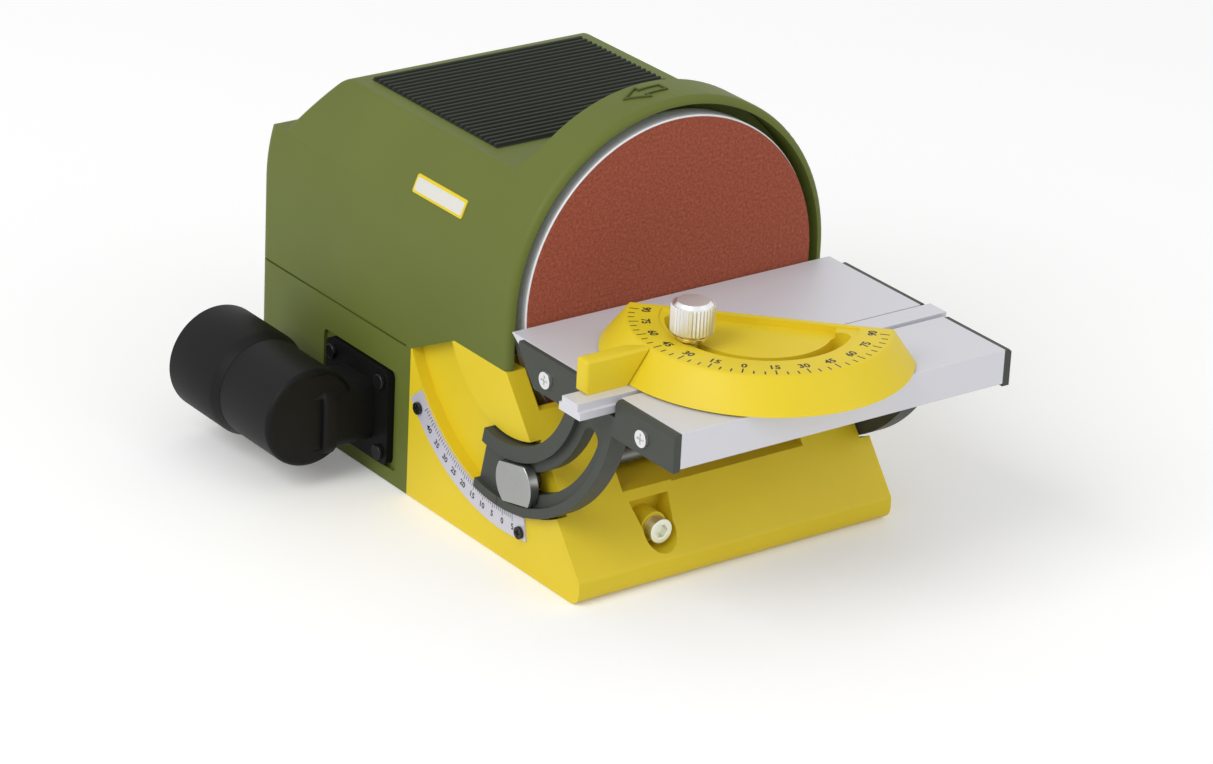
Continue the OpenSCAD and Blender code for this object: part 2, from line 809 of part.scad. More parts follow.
module dust_elbow() {
    neck_collar = 5;
    color("dimgray") difference() {
        union() {
            // flange and neck
            translate([-flange_face - flange_t, port_y, port_h]) rotate([90, 0, 90]) linear_extrude(flange_t)
                round_rect(flange_len, flange_h, 3);
            translate([barrel_x, port_y, port_h]) rotate([90, 0, 90])
                linear_extrude(-barrel_x - flange_face - fit) round_rect(neck_w, neck_w, 5);
            // collar where the neck enters the barrel
            translate([barrel_x, port_y, port_h]) rotate([90, 0, 90])
                linear_extrude(neck_collar) round_rect(neck_w + 3, neck_w + 3, 6);
            // barrel with a rounded closed end
            translate([barrel_x, barrel_front, barrel_h]) rotate([-90, 0, 0]) rotate_extrude() difference() {
                square([barrel_d / 2, barrel_len + sleeve_lap]);
                translate([barrel_d / 2 - 2, 0]) corner_cut(2);
                translate([barrel_d / 2 - port_wall - eps, barrel_len])
                    square([port_wall + 1, sleeve_lap + 1]);
            }
        }
        // barrel's bore and the passage from the neck
        ycyl(barrel_d / 2 - 2 * port_wall, barrel_front + port_wall, barrel_back + sleeve_lap + 1,
             barrel_x, barrel_h);
        translate([barrel_x, port_y, port_h]) rotate([90, 0, 90]) linear_extrude(barrel_out + half_w)
            round_rect(neck_w - 2 * port_wall, neck_w - 2 * port_wall, 3);
        for (p = port_screw_places()) xcyl(1.8, -half_w - 5, -half_w + 5, p[0], p[1]);
    }
}

module dust_sleeve() {
    lap_r = barrel_d / 2 - port_wall;
    shoulder = 3;
    color("dimgray") translate([barrel_x, barrel_back, barrel_h]) rotate([-90, 0, 0]) difference() {
        revolve([[lap_r + fit, fit], [barrel_d / 2, fit], [sleeve_d / 2, shoulder + 2],
                 [sleeve_d / 2, sleeve_len], [hose_r, sleeve_len], [hose_r, sleeve_lap + fit],
                 [lap_r + fit, sleeve_lap + fit]]);
    }
}

module dust_screws() {
    color("silver") for (p = port_screw_places()) {
        xcyl(2.8, -flange_face - flange_t - 1.8, -flange_face - flange_t, p[0], p[1]);
        xcyl(1.2, -flange_face - flange_t, -half_w + port_recess + 2, p[0], p[1]);
    }
}

// Fasteners of the base and the shells

module base_tie_bolt() {
    socket_r = 2.6;
    color("silver") difference() {
        union() {
            ycyl(tie_head_r, tie_head_y - 5, tie_head_y, tie_x, tie_z);
            ycyl(tie_r, tie_head_y - 1, tie_nut_y + 7, tie_x, tie_z);
        }
        translate([tie_x, tie_head_y - 6, tie_z]) rotate([-90, 0, 0]) cylinder(r = socket_r, h = 4, $fn = 6);
    }
}

module tie_bolt_nut() {
    color("silver") translate([tie_x, tie_nut_y, tie_z]) rotate([-90, 0, 0]) difference() {
        cylinder(r = 5.7, h = 5, $fn = 6);
        translate([0, 0, -1]) cylinder(r = tie_r + run, h = 7);
    }
}

module housing_screws() {
    slot_l = 4;
    slot_t = 1;
    color("silver") both_sides() for (y = boss_ys) difference() {
        union() {
            zcyl(shell_head_r, shell_seat - shell_head_t, shell_seat, boss_x, y);
            zcyl(shell_screw_r - fit, shell_seat - 1, boss_top - wall - 1, boss_x, y);
        }
        for (t = [0, 90]) translate([boss_x, y, shell_seat - shell_head_t]) rotate(t)
            box([-slot_l / 2, -slot_t / 2, -1], [slot_l / 2, slot_t / 2, shell_head_t / 2]);
    }
}

module base_screws() {
    color("silver") {
        base_screw_holes(base_screw_r, joint_y - 8, joint_y + wall + eps);
        base_screw_holes(base_head_r, joint_y + wall, joint_y + wall + base_head_t);
    }
}

module cable_gland() {
    bore = 3.5;
    color("dimgray") translate([gland_x, rear_in, gland_z]) rotate([-90, 0, 0]) difference() {
        union() {
            cylinder(r = gland_r, h = wall + eps);
            translate([0, 0, wall]) cylinder(r = gland_r + 2, h = 2.5);
            translate([0, 0, -2.5]) cylinder(r = gland_r + 1.6, h = 2.5);
        }
        translate([0, 0, -5]) cylinder(r = bore, h = 20);
    }
}

// Motor

module front_shield() {
    color("slategray") difference() {
        union() {
            ycyl(shield_r, bulkhead_back, can_front, 0, axis_h);
            ycyl(can_in - fit, bulkhead_back, can_front + 3, 0, axis_h);
            ycyl(bearing_boss, bulkhead_back, front_bearing_y + bearing_t + 1, 0, axis_h);
        }
        ycyl(hub_hole, bulkhead_back - 1, front_bearing_y - 1, 0, axis_h);
        ycyl(shaft_r + 2, bulkhead_back - 1, front_bearing_y + 1, 0, axis_h);
        ycyl(bearing_r + run, front_bearing_y, front_bearing_y + bearing_t + 2, 0, axis_h);
        difference() {
            ycyl(can_in - 2, can_front, can_front + 4, 0, axis_h);
            ycyl(bearing_boss, can_front - 1, can_front + 5, 0, axis_h);
        }
        for (a = [45:90:359]) ycyl(motor_screw_r + fit, bulkhead_back - 1, can_front + 1,
            mount_r * cos(a), axis_h + mount_r * sin(a));
    }
}

module rear_shield() {
    shield_vent_r = 4;
    shield_vent_ring = 22;
    color("slategray") difference() {
        union() {
            ycyl(shield_r, can_back, can_back + shield_t, 0, axis_h);
            ycyl(bearing_boss, can_back, rear_bearing_y + bearing_t + 1, 0, axis_h);
        }
        ycyl(shaft_r + 2, can_back - 1, rear_bearing_y + 1, 0, axis_h);
        ycyl(bearing_r + run, rear_bearing_y, rear_bearing_y + bearing_t + 2, 0, axis_h);
        for (a = [0:60:359]) ycyl(shield_vent_r, can_back - 1, can_back + shield_t + 1,
            shield_vent_ring * cos(a), axis_h + shield_vent_ring * sin(a));
    }
}

module motor_can() {
    color("gray") difference() {
        ycyl(can_d / 2, can_front, can_back, 0, axis_h);
        ycyl(can_in, can_front - 1, can_back + 1, 0, axis_h);
    }
}

module field_magnets() {
    span = 62;
    color("dimgray") difference() {
        ycyl(can_in - fit, magnet_y, magnet_y + magnet_len, 0, axis_h);
        ycyl(magnet_in, magnet_y - 1, magnet_y + magnet_len + 1, 0, axis_h);
        for (s = [0, 180]) translate([0, magnet_y - 1, axis_h]) rotate([0, s, 0])
            front_extrude(0, magnet_len + 2) polygon([[0, 0], can_d * [cos(span), sin(span)],
                can_d * [-cos(span), sin(span)]]);
    }
}

// Ball bearing with its ring groove, along Y from y0
module bearing(y0) {
    color("lightgray") difference() {
        ycyl(bearing_r, y0, y0 + bearing_t, 0, axis_h);
        ycyl(shaft_r + run, y0 - 1, y0 + bearing_t + 1, 0, axis_h);
        for (y = [y0 - 1, y0 + bearing_t - 0.5]) difference() {
            ycyl(bearing_r - 2, y, y + 1.5, 0, axis_h);
            ycyl(shaft_r + 2, y - 1, y + 3, 0, axis_h);
        }
    }
}

module front_bearing() {
    bearing(front_bearing_y);
}

module rear_bearing() {
    bearing(rear_bearing_y);
}

module brush_holders() {
    guide = 1.5;
    foot_back = can_back;
    color("peru") for (s = [0, 180]) translate([0, 0, axis_h]) rotate([0, s, 0]) difference() {
        union() {
            box([comm_r + 2, brush_y - brush_t / 2 - guide, -brush_w / 2 - guide],
                [holder_out - 1, brush_y + brush_t / 2 + guide, brush_w / 2 + guide]);
            box([holder_out - 9, brush_y, -brush_w / 2 - guide],
                [holder_out - 1, foot_back, brush_w / 2 + guide]);
        }
        box([0, brush_y - brush_t / 2 - fit, -brush_w / 2 - fit],
            [holder_out - 2.5, brush_y + brush_t / 2 + fit, brush_w / 2 + fit]);
    }
}

module carbon_brushes() {
    color("black") for (s = [0, 180]) translate([0, 0, axis_h]) rotate([0, s, 0]) difference() {
        box([comm_r - 1, brush_y - brush_t / 2, -brush_w / 2],
            [brush_out, brush_y + brush_t / 2, brush_w / 2]);
        rotate([-90, 0, 0]) translate([0, 0, brush_y - brush_t]) cylinder(r = comm_r + 0.2, h = 2 * brush_t);
    }
}

module brush_springs() {
    color("silver") for (s = [0, 180]) translate([0, 0, axis_h]) rotate([0, s, 0]) difference() {
        xcyl(2, brush_out + eps, holder_out - 2.5 - eps, brush_y, 0);
        xcyl(1.4, brush_out - 1, holder_out, brush_y, 0);
    }
}

module motor_screws() {
    color("silver") for (a = [45:90:359]) {
        x = mount_r * cos(a);
        z = axis_h + mount_r * sin(a);
        ycyl(motor_screw_r, well_back - eps, can_front, x, z);
        ycyl(motor_head_r, well_back - motor_head_t, well_back, x, z);
    }
}

// Electronics under the motor

board_low = 10;
board_t = 1.6;
board_x = [4, 48];
board_ys = [joint_y + 18, rear_in - 8];
post_r = 3;

board_inset = 4;

function board_corners() = [for (x = [board_x[0] + board_inset, board_x[1] - board_inset],
    y = [board_ys[0] + board_inset, board_ys[1] - board_inset]) [x, y]];

module circuit_board() {
    color("darkgreen") {
        difference() {
            box([board_x[0], board_ys[0], board_low], [board_x[1], board_ys[1], board_low + board_t]);
            for (p = board_corners()) zcyl(1.5, board_low - 1, board_low + board_t + 1, p[0], p[1]);
        }
        // spacer sleeves down to the shell's floor
        for (p = board_corners()) difference() {
            zcyl(post_r, floor_t, board_low + eps, p[0], p[1]);
            zcyl(1.5, floor_t - 1, board_low + 1, p[0], p[1]);
        }
    }
}

module heat_sink() {
    fins = 6;
    fin_t = 1.5;
    fin_low = 4;
    sink_t = 3;
    sink_w = 12;
    sink_len = 30;
    sink_h = 24;
    fin_pitch = (sink_len - fin_t) / (fins - 1);
    x0 = board_x[0] + board_inset;
    y0 = board_ys[0] + board_inset + 10;
    z0 = board_low + board_t;
    color("silver") {
        box([x0, y0, z0], [x0 + sink_t, y0 + sink_len, z0 + sink_h]);
        for (i = [0:fins - 1]) translate([x0, y0 + i * fin_pitch, z0])
            box([sink_t - fit, 0, fin_low], [sink_w, fin_t, sink_h]);
    }
}

module capacitor() {
    can_r = 6.5;
    can_h = 22;
    z0 = board_low + board_t;
    color("midnightblue")
        zcyl(can_r, z0, z0 + can_h, board_x[1] - 2 * can_r - 1, board_ys[0] + 4 * can_r + 2);
}

module board_screws() {
    color("silver") for (p = board_corners()) {
        zcyl(1.4, floor_t, board_low + board_t + eps, p[0], p[1]);
        zcyl(2.8, board_low + board_t, board_low + board_t + 1.8, p[0], p[1]);
    }
}

module switch_body() {
    depth = 16;
    color("dimgray") difference() {
        union() {
            box([half_w, switch_y - switch_w / 2 - bezel, control_h - switch_h / 2 - bezel],
                [half_w + bezel_t, switch_y + switch_w / 2 + bezel, control_h + switch_h / 2 + bezel]);
            box([half_w - depth, switch_y - switch_w / 2 + fit, control_h - switch_h / 2 + fit],
                [half_w + eps, switch_y + switch_w / 2 - fit, control_h + switch_h / 2 - fit]);
        }
        // cup in which the rocker turns
        box([half_w - 9, switch_y - switch_w / 2 + 1.5, control_h - switch_h / 2 + 1.5],
            [half_w + 5, switch_y + switch_w / 2 - 1.5, control_h + switch_h / 2 - 1.5]);
        zcyl(1.5 + run, control_h - switch_h / 2 + 0.5, control_h + switch_h / 2 - 0.5, half_w - 2, switch_y);
    }
}

module potentiometer() {
    body_r = 9;
    color("slategray") {
        xcyl(body_r, half_w - wall - 11, half_w - wall - fit, dial_y, control_h);
        xcyl(spindle_r, half_w - wall - 1, half_w + dial_t - 3, dial_y, control_h);
    }
}

// Moving controls

module switch_rocker() {
    half_y = switch_w / 2 - 1.5 - rocker_gap;
    half_z = switch_h / 2 - 1.5 - rocker_gap;
    tilt = 10;
    pin_half = switch_h / 2 - 0.5 - 0.2;
    color("firebrick") translate([half_w - 2, switch_y, control_h]) rotate([0, 0, tilt]) {
        linear_extrude(2 * half_z, center = true) intersection() {
            translate([-3, -half_y + 0.6]) square([7.5, 2 * half_y - 1.2]);
            difference() {
                circle(r = half_y);
                translate([rocker_r + 2.2, 0]) circle(r = rocker_r - 1);
            }
        }
        cylinder(r = 1.5, h = 2 * pin_half, center = true);
    }
}

module speed_dial() {
    flutes = 12;
    color("dimgray") translate([half_w + 0.5, dial_y, control_h]) rotate([0, 90, 0]) difference() {
        union() {
            cylinder(r = dial_d / 2, h = 2);
            linear_extrude(dial_t) difference() {
                circle(r = dial_d / 2 - 1.5);
                for (i = [0:flutes - 1]) rotate(i * 360 / flutes) translate([dial_d / 2, 0]) circle(r = 2.2);
            }
        }
        translate([0, 0, -1]) cylinder(r = spindle_r + run, h = dial_t - 2.2);
    }
}

// Rotating drive

module armature_shaft() {
    color("silver") ycyl(shaft_r, disc_back + fit, shaft_back, 0, axis_h);
}

module armature_core() {
    slots = 12;
    color("gray") front_extrude(core_y, core_y + core_len) translate([0, axis_h]) difference() {
        circle(r = core_r);
        circle(r = shaft_r + fit / 2);
        for (i = [0:slots - 1]) rotate(i * 360 / slots) {
            translate([core_r - 5, 0]) circle(r = 2.6);
            translate([core_r - 5, -0.8]) square([6, 1.6]);
        }
    }
}

module windings() {
    turn_r = 20;
    color("chocolate") for (y = [core_y - winding_t, core_y + core_len]) translate([0, y, axis_h])
        rotate([-90, 0, 0]) difference() {
            revolve([[shaft_r + fit / 2, 0.5], [turn_r - 4, 0.5], [turn_r, 3], [turn_r, winding_t - 2],
                     [turn_r - 2, winding_t], [shaft_r + fit / 2, winding_t]]);
        }
}

module commutator() {
    bars = 12;
    color("orange") front_extrude(comm_y, comm_y + comm_len) translate([0, axis_h]) difference() {
        circle(r = comm_r);
        circle(r = shaft_r + fit / 2);
        for (i = [0:bars - 1]) rotate(i * 360 / bars) translate([comm_r - 1, -0.3]) square([2, 0.6]);
    }
}

module cooling_fan() {
    blades = 9;
    fan_r = can_in - 2.5;
    boss = 9;
    color("black") translate([0, fan_y, axis_h]) rotate([-90, 0, 0]) difference() {
        union() {
            cylinder(r = fan_r, h = 1.8);
            cylinder(r = boss, h = fan_t);
            for (i = [0:blades - 1]) rotate(i * 360 / blades) translate([boss - 1, -0.8, 0])
                cube([fan_r - boss, 1.6, fan_t]);
        }
        translate([0, 0, -1]) cylinder(r = shaft_r + fit / 2, h = fan_t + 2);
    }
}

module disc_hub() {
    color("slategray") difference() {
        union() {
            ycyl(hub_flange_r, disc_back, disc_back + hub_flange_t, 0, axis_h);
            ycyl(hub_r, disc_back, hub_back, 0, axis_h);
        }
        ycyl(shaft_r + fit / 2, disc_back - 1, hub_back + 1, 0, axis_h);
        zcyl(2 + run, axis_h, axis_h + hub_r + 1, 0, hub_back - 3.5);
        hub_screw_places() ycyl(1.6, disc_back - 1, hub_back, 0, 0);
    }
}

// Places the children on the three disc screws
module hub_screw_places() {
    screw_r = 14.5;
    for (a = [90:120:449]) translate([screw_r * cos(a), 0, axis_h + screw_r * sin(a)]) children();
}

module hub_set_screw() {
    color("dimgray") difference() {
        zcyl(2, axis_h + shaft_r + fit, axis_h + hub_r - 0.3, 0, hub_back - 3.5);
        translate([0, hub_back - 3.5, axis_h + hub_r - 2]) cylinder(r = 1.1, h = 3, $fn = 6);
    }
}

module disc_screws() {
    len = disc_t + hub_flange_t - 2 * fit;
    color("silver") hub_screw_places() translate([0, abrasive_t + fit, 0]) rotate([-90, 0, 0]) difference() {
        revolve([[0, 0], [3.4, 0], [1.5, 2.2], [1.5, len], [0, len]]);
        translate([0, 0, -1]) cylinder(r = 1.3, h = 2.2, $fn = 6);
    }
}

module sanding_disc() {
    chamfer = 0.8;
    r = disc_d / 2;
    color("lightsteelblue") difference() {
        translate([0, abrasive_t, axis_h]) rotate([-90, 0, 0])
            revolve([[0, 0], [r - chamfer / 2, 0], [r, chamfer / 2], [r, disc_t - chamfer],
                     [r - chamfer, disc_t], [0, disc_t]]);
        hub_screw_places() translate([0, abrasive_t, 0]) rotate([-90, 0, 0])
            revolve([[0, -1], [3.6, -1], [3.6, 0.1], [1.7, 2.4], [1.7, disc_t + 1], [0, disc_t + 1]]);
    }
}

module abrasive_sheet() {
    color("indianred") ycyl(disc_d / 2 - 0.6, 0, abrasive_t, 0, axis_h);
}

// Table

// Section of the table's extrusion in Y and Z
module deck_section() {
    low = table_h - plate_t;
    rib_low = low - 4.5;
    rib_half = bar_w / 2 + 4;
    skirt_low = table_h - table_t;
    polygon([[table_rear, table_h], [table_rear, table_h - tip_land],
             [table_rear - (plate_t - tip_land) * bevel_run, low], [groove_mid + rib_half, low],
             [groove_mid + rib_half, rib_low], [groove_mid - rib_half, rib_low],
             [groove_mid - rib_half, low], [table_front + skirt_t, low], [table_front + skirt_t, skirt_low],
             [table_front, skirt_low], [table_front, table_h]]);
}

module table_deck() {
    boss = 4;
    color("gainsboro") difference() {
        union() {
            side_extrude(-deck_half, deck_half) deck_section();
            // screw channels under the plate
            for (y = screw_ys) {
                xcyl(boss, -deck_half, deck_half, y, screw_z);
                box([-deck_half, y - boss, screw_z], [deck_half, y + boss, table_h - plate_t / 2]);
            }
        }
        for (y = screw_ys) xcyl(deck_screw_r, -deck_half - 1, deck_half + 1, y, screw_z);
        // groove of the slide bar
        box([-big / 2, groove_mid - bar_w / 2 - slide, groove_floor],
            [big / 2, groove_mid + bar_w / 2 + slide, table_h + 1]);
    }
}

// Side outline of an end bracket
module bracket_outline() {
    notch_half = bar_w / 2 + 0.8;
    difference() {
        union() {
            polygon([[bracket_rear, bracket_top], [bracket_rear - bracket_rake, bracket_bottom],
                     [table_front, bracket_bottom], [table_front, bracket_top]]);
            quadrant_outline();
        }
        translate([groove_mid - notch_half, groove_floor - 1.2]) square([2 * notch_half, big]);
        clamp_slot();
        for (y = screw_ys) translate([y, screw_z]) circle(r = deck_screw_r + free);
    }
}

// Slot along which the clamp bolt slides, in the side outline
module clamp_slot() {
    tilt_slot(clamp_r, slot_half, -clamp_angle - tilt_down - stud_half_angle,
        -clamp_angle + tilt_up + slot_play);
}

module quadrant_outline() {
    tilt_sector(quad_in, quad_out, -82, quad_end);
}

module left_bracket() {
    color("dimgray") difference() {
        union() {
            side_extrude(-bracket_out, -deck_half) bracket_outline();
            // thicker quadrant below the table
            intersection() {
                side_extrude(-deck_half - eps, -quad_face) difference() {
                    quadrant_outline();
                    clamp_slot();
                }
                box([-big, -big, 0], [0, big, bracket_bottom]);
            }
        }
        // stepped recess in which the clamp head slides
        side_extrude(-bracket_out - 1, -head_seat) tilt_sector(clamp_r - clamp_flats / 2 - 0.4,
            clamp_r + clamp_flats / 2 + 1, -clamp_angle - tilt_down - head_half_angle, quad_end + 3);
        // bevelled top edge
        translate([-bracket_out, 0, bracket_top]) rotate([0, 45, 0])
            cube([bracket_bevel, big, bracket_bevel], center = true);
    }
}

module right_bracket() {
    mirror([1, 0, 0]) left_bracket();
}

module bracket_screws() {
    head_r = 3.1;
    head_t = 1.4;
    slot_l = 3.8;
    slot_t = 0.7;
    slot_deep = 0.8;
    color("white") both_sides() for (y = screw_ys) translate([-bracket_out, y, screw_z])
        rotate([0, 90, 0]) difference() {
            union() {
                translate([0, 0, -head_t]) cylinder(r = head_r, h = head_t);
                cylinder(r = deck_screw_r - run, h = bracket_t + 12);
            }
            for (t = [0, 90]) rotate(t) translate([-slot_l / 2, -slot_t / 2, -head_t - 1])
                cube([slot_l, slot_t, slot_deep + 1]);
        }
}

// Tilt clamp

module clamp_bolt() {
    color("lightgray") {
        translate([-head_out, clamp_y, clamp_z]) rotate([0, 90, 0]) rotate([0, 0, -clamp_angle])
            linear_extrude(head_out - head_seat - fit) intersection() {
                circle(r = clamp_head_d / 2);
                square([clamp_flats, clamp_head_d], center = true);
            }
        xcyl(clamp_neck_r, -head_out + 1, -base_in, clamp_y, clamp_z);
        xcyl(clamp_rod_d / 2, -base_in - eps, bracket_out + 14, clamp_y, clamp_z);
    }
}

insert_r = 5.5;
knob_lobes = 6;
knob_len = 13;

module clamp_knob() {
    color("dimgray") translate([bracket_out + 0.6, clamp_y, clamp_z]) rotate([0, 90, 0]) difference() {
        union() {
            cylinder(r = 8.5, h = knob_len);
            translate([0, 0, 3]) linear_extrude(knob_len - 3) difference() {
                circle(r = clamp_knob_d / 2);
                for (i = [0:knob_lobes - 1]) rotate((i + 0.5) * 360 / knob_lobes)
                    translate([clamp_knob_d / 2 + 2, 0]) circle(r = 4.5);
            }
        }
        translate([0, 0, -1]) cylinder(r = insert_r + fit, h = knob_len - 1);
        translate([0, 0, -1]) cylinder(r = clamp_rod_d / 2 + 0.5, h = knob_len + 3);
    }
}

module clamp_knob_insert() {
    color("goldenrod") translate([bracket_out + 0.6, clamp_y, clamp_z]) rotate([0, 90, 0]) difference() {
        cylinder(r = insert_r, h = knob_len - 2 - fit);
        translate([0, 0, -1]) cylinder(r = clamp_rod_d / 2 + run, h = knob_len + 2);
    }
}

// Mitre gauge

module slide_bar() {
    color("gainsboro") difference() {
        side_extrude(-bar_left, bar_len - bar_left) translate([groove_mid, 0]) {
            translate([-bar_w / 2, bar_low]) square([bar_w, bar_step - bar_low]);
            translate([-bar_rib_w / 2, bar_low]) square([bar_rib_w, bar_top - bar_low]);
        }
        zcyl(pivot_r + run, bar_low + 1, bar_top + 1, -pivot_x, groove_mid);
        zcyl(stud_r + run, bar_low + 1, bar_top + 1, knob_x, groove_mid);
    }
}

module pivot_pin() {
    color("silver") zcyl(pivot_r, bar_low + 1 + fit, gauge_low + 6, -pivot_x, groove_mid);
}

module clamp_stud() {
    color("silver") zcyl(stud_r, bar_low + 1 + fit, gauge_top + collar_h + knob_h - 3, knob_x, groove_mid);
}

module pointer_block() {
    color("gold") difference() {
        translate([0, groove_mid, 0]) linear_extrude(block_top) polygon([[-block_left, 0],
            [-block_left, block_w], [-pivot_x - gauge_top_r - 6, block_w], [-pivot_x - gauge_top_r + 4, 0]]);
        box([-big, -big, -1], [big, big, bar_top]);
        translate([-pivot_x, groove_mid, gauge_low - 1]) cylinder(h = gauge_h + 2,
            r1 = gauge_r + gauge_clear + (gauge_r - gauge_top_r) / gauge_h,
            r2 = gauge_top_r + gauge_clear - (gauge_r - gauge_top_r) / gauge_h);
    }
}

// Half plane of the protractor's frame, on the side of the scale
module gauge_half(offset_y) {
    translate([-big / 2, -big + offset_y]) square([big, big]);
}

// Arc slot in the protractor's own frame; its zero mark points along minus Y
module gauge_slot(half) {
    reach = gauge_swing + asin((stud_r + 0.6) / slot_r);
    steps = 16;
    intersection() {
        difference() {
            circle(r = slot_r + half);
            circle(r = slot_r - half);
        }
        polygon(concat([[0, 0]], [for (i = [0:steps]) let (a = -reach + 2 * reach * i / steps)
            3 * slot_r * [sin(a), -cos(a)]]));
    }
    for (s = [-1, 1]) translate([slot_r * sin(s * reach), -slot_r * cos(reach)]) circle(r = half);
}

module protractor() {
    floor_z = gauge_h - 2.5;
    land_z = gauge_h - 0.5;
    land_w = 2;
    turn = gauge_set - 90;
    color("gold") translate([-pivot_x, groove_mid, gauge_low]) rotate(turn) difference() {
        intersection() {
            cylinder(h = gauge_h, r1 = gauge_r, r2 = gauge_top_r);
            linear_extrude(gauge_h) gauge_half(fence_off);
        }
        // sunken floor inside the arc slot
        translate([0, 0, floor_z]) linear_extrude(gauge_h) intersection() {
            circle(r = slot_r - slot_w / 2 + 1);
            gauge_half(fence_off - fence_t);
        }
        // narrow land round the slot
        translate([0, 0, land_z]) linear_extrude(gauge_h) intersection() {
            circle(r = slot_r + slot_w / 2 + land_w);
            gauge_half(fence_off - fence_t);
        }
        translate([0, 0, -1]) linear_extrude(gauge_h + 2) gauge_slot(slot_w / 2);
        translate([0, 0, -1]) cylinder(r = pivot_r + run, h = gauge_h + 2);
    }
}

module gauge_knob() {
    teeth = 36;
    knurl = 0.45;
    crown = 1.2;
    groove_r = collar_r - 0.9;
    color("whitesmoke") translate([knob_x, groove_mid, gauge_top + 0.2]) difference() {
        union() {
            revolve([[0, 0], [collar_r, 0], [collar_r, collar_h * 0.4], [groove_r, collar_h * 0.6],
                     [groove_r, collar_h + eps], [0, collar_h + eps]]);
            translate([0, 0, collar_h]) linear_extrude(knob_h - crown) polygon([for (i = [0:2 * teeth - 1])
                let (r = knob_d / 2 - (i % 2) * knurl) r * [cos(i * 180 / teeth), sin(i * 180 / teeth)]]);
            translate([0, 0, collar_h + knob_h - crown - eps])
                cylinder(h = crown + eps, r1 = knob_d / 2 - 2 * knurl, r2 = knob_d / 2 - 2 * knurl - crown);
        }
        translate([0, 0, -1]) cylinder(r = stud_r + run, h = collar_h + knob_h - 1.5);
    }
}

upper_housing();
lower_housing();
front_base();
roof_mat();
angle_scale();
scale_screws();
dust_elbow();
dust_sleeve();
dust_screws();
base_tie_bolt();
tie_bolt_nut();
housing_screws();
base_screws();
clamp_bolt();
front_shield();
motor_can();
field_magnets();
rear_shield();
front_bearing();
rear_bearing();
brush_holders();
carbon_brushes();
brush_springs();
motor_screws();
circuit_board();
heat_sink();
capacitor();
board_screws();
switch_body();
potentiometer();
cable_gland();
armature_shaft();
armature_core();
windings();
commutator();
cooling_fan();
disc_hub();
hub_set_screw();
disc_screws();
sanding_disc();
abrasive_sheet();
table_deck();
left_bracket();
right_bracket();
bracket_screws();
clamp_knob();
clamp_knob_insert();
slide_bar();
pointer_block();
pivot_pin();
clamp_stud();
protractor();
gauge_knob();
switch_rocker();
speed_dial();
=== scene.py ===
"""Looks of a benchtop disc sander: finishes, printed scales and studio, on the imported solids."""

from __future__ import annotations

import json
import logging
import math
from abc import ABC, abstractmethod
from dataclasses import dataclass, field
from enum import Enum
from typing import Any, Callable, Mapping, Sequence

import bmesh
import bpy
from mathutils import Matrix, Vector

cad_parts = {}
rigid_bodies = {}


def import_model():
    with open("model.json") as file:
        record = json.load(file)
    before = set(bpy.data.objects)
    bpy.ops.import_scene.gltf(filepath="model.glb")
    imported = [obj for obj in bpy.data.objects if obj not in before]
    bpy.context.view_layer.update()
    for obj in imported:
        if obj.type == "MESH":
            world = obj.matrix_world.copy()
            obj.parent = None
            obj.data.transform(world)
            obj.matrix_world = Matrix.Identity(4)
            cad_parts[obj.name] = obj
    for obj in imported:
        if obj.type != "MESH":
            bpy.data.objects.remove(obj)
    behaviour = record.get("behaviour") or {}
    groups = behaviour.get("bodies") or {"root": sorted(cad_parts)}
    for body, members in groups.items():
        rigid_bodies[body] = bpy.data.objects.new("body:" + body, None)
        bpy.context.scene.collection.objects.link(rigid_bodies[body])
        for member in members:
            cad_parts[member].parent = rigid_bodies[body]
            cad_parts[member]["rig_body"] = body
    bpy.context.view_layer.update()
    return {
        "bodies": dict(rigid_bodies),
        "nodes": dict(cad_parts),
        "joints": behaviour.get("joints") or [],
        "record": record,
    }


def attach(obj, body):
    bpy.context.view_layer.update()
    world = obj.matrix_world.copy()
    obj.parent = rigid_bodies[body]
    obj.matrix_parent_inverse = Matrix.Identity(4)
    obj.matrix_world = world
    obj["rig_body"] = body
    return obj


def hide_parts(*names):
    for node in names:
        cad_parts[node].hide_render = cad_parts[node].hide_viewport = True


LOG = logging.getLogger("disc_sander")

# Metres in a millimetre
MM = 0.001
# Distances in millimetres within which a corner counts as lying on a surface or in a plane
NEAR = 0.05
TOUCH = 0.01
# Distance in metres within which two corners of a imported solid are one
WELD = 2e-6
# Thickness of a printed line and how far its middle stands off the face, in millimetres
PRINT_THICKNESS = 0.04
PRINT_LIFT = 0.02
# Half the thickness of printed figures in metres, and the font's size over the figures' height
FIGURE_HALF = 0.00003
FONT_SIZE = 1.4
# Place of the axis on which the table tilts, in millimetres
TILT_Y = -1.0
TILT_Z = 87.2
# Heights in metres of the grain of mouldings, of the lines in metal and of the grit
GRAIN_HEIGHT = 0.0002
LINE_HEIGHT = 0.00005
GRIT_HEIGHT = 0.0003
# Share of the grain and of the lines that is added to the roughness
GRAIN_DULLING = 0.16
LINE_DULLING = 0.25
# Sockets of a colour mix node: its two colours and its result
MIX_FIRST, MIX_SECOND, MIX_RESULT = 6, 7, 2
# The shader that a new material has, and white with full cover
SHADER = "Principled BSDF"
WHITE = (1.0, 1.0, 1.0, 1.0)

Rgb = tuple[float, float, float]
Triple = tuple[float, float, float]
Span = tuple[float, float]
Shape = bmesh.types.BMesh
Piece = bpy.types.Object
Tree = bpy.types.NodeTree
Node = bpy.types.Node
Socket = bpy.types.NodeSocket


class Axis(Enum):
    """The direction in which a metal's brush lines run, as the scale of their pattern."""

    X = (1.0, 40.0, 40.0)
    Y = (40.0, 1.0, 40.0)
    Z = (40.0, 40.0, 1.0)


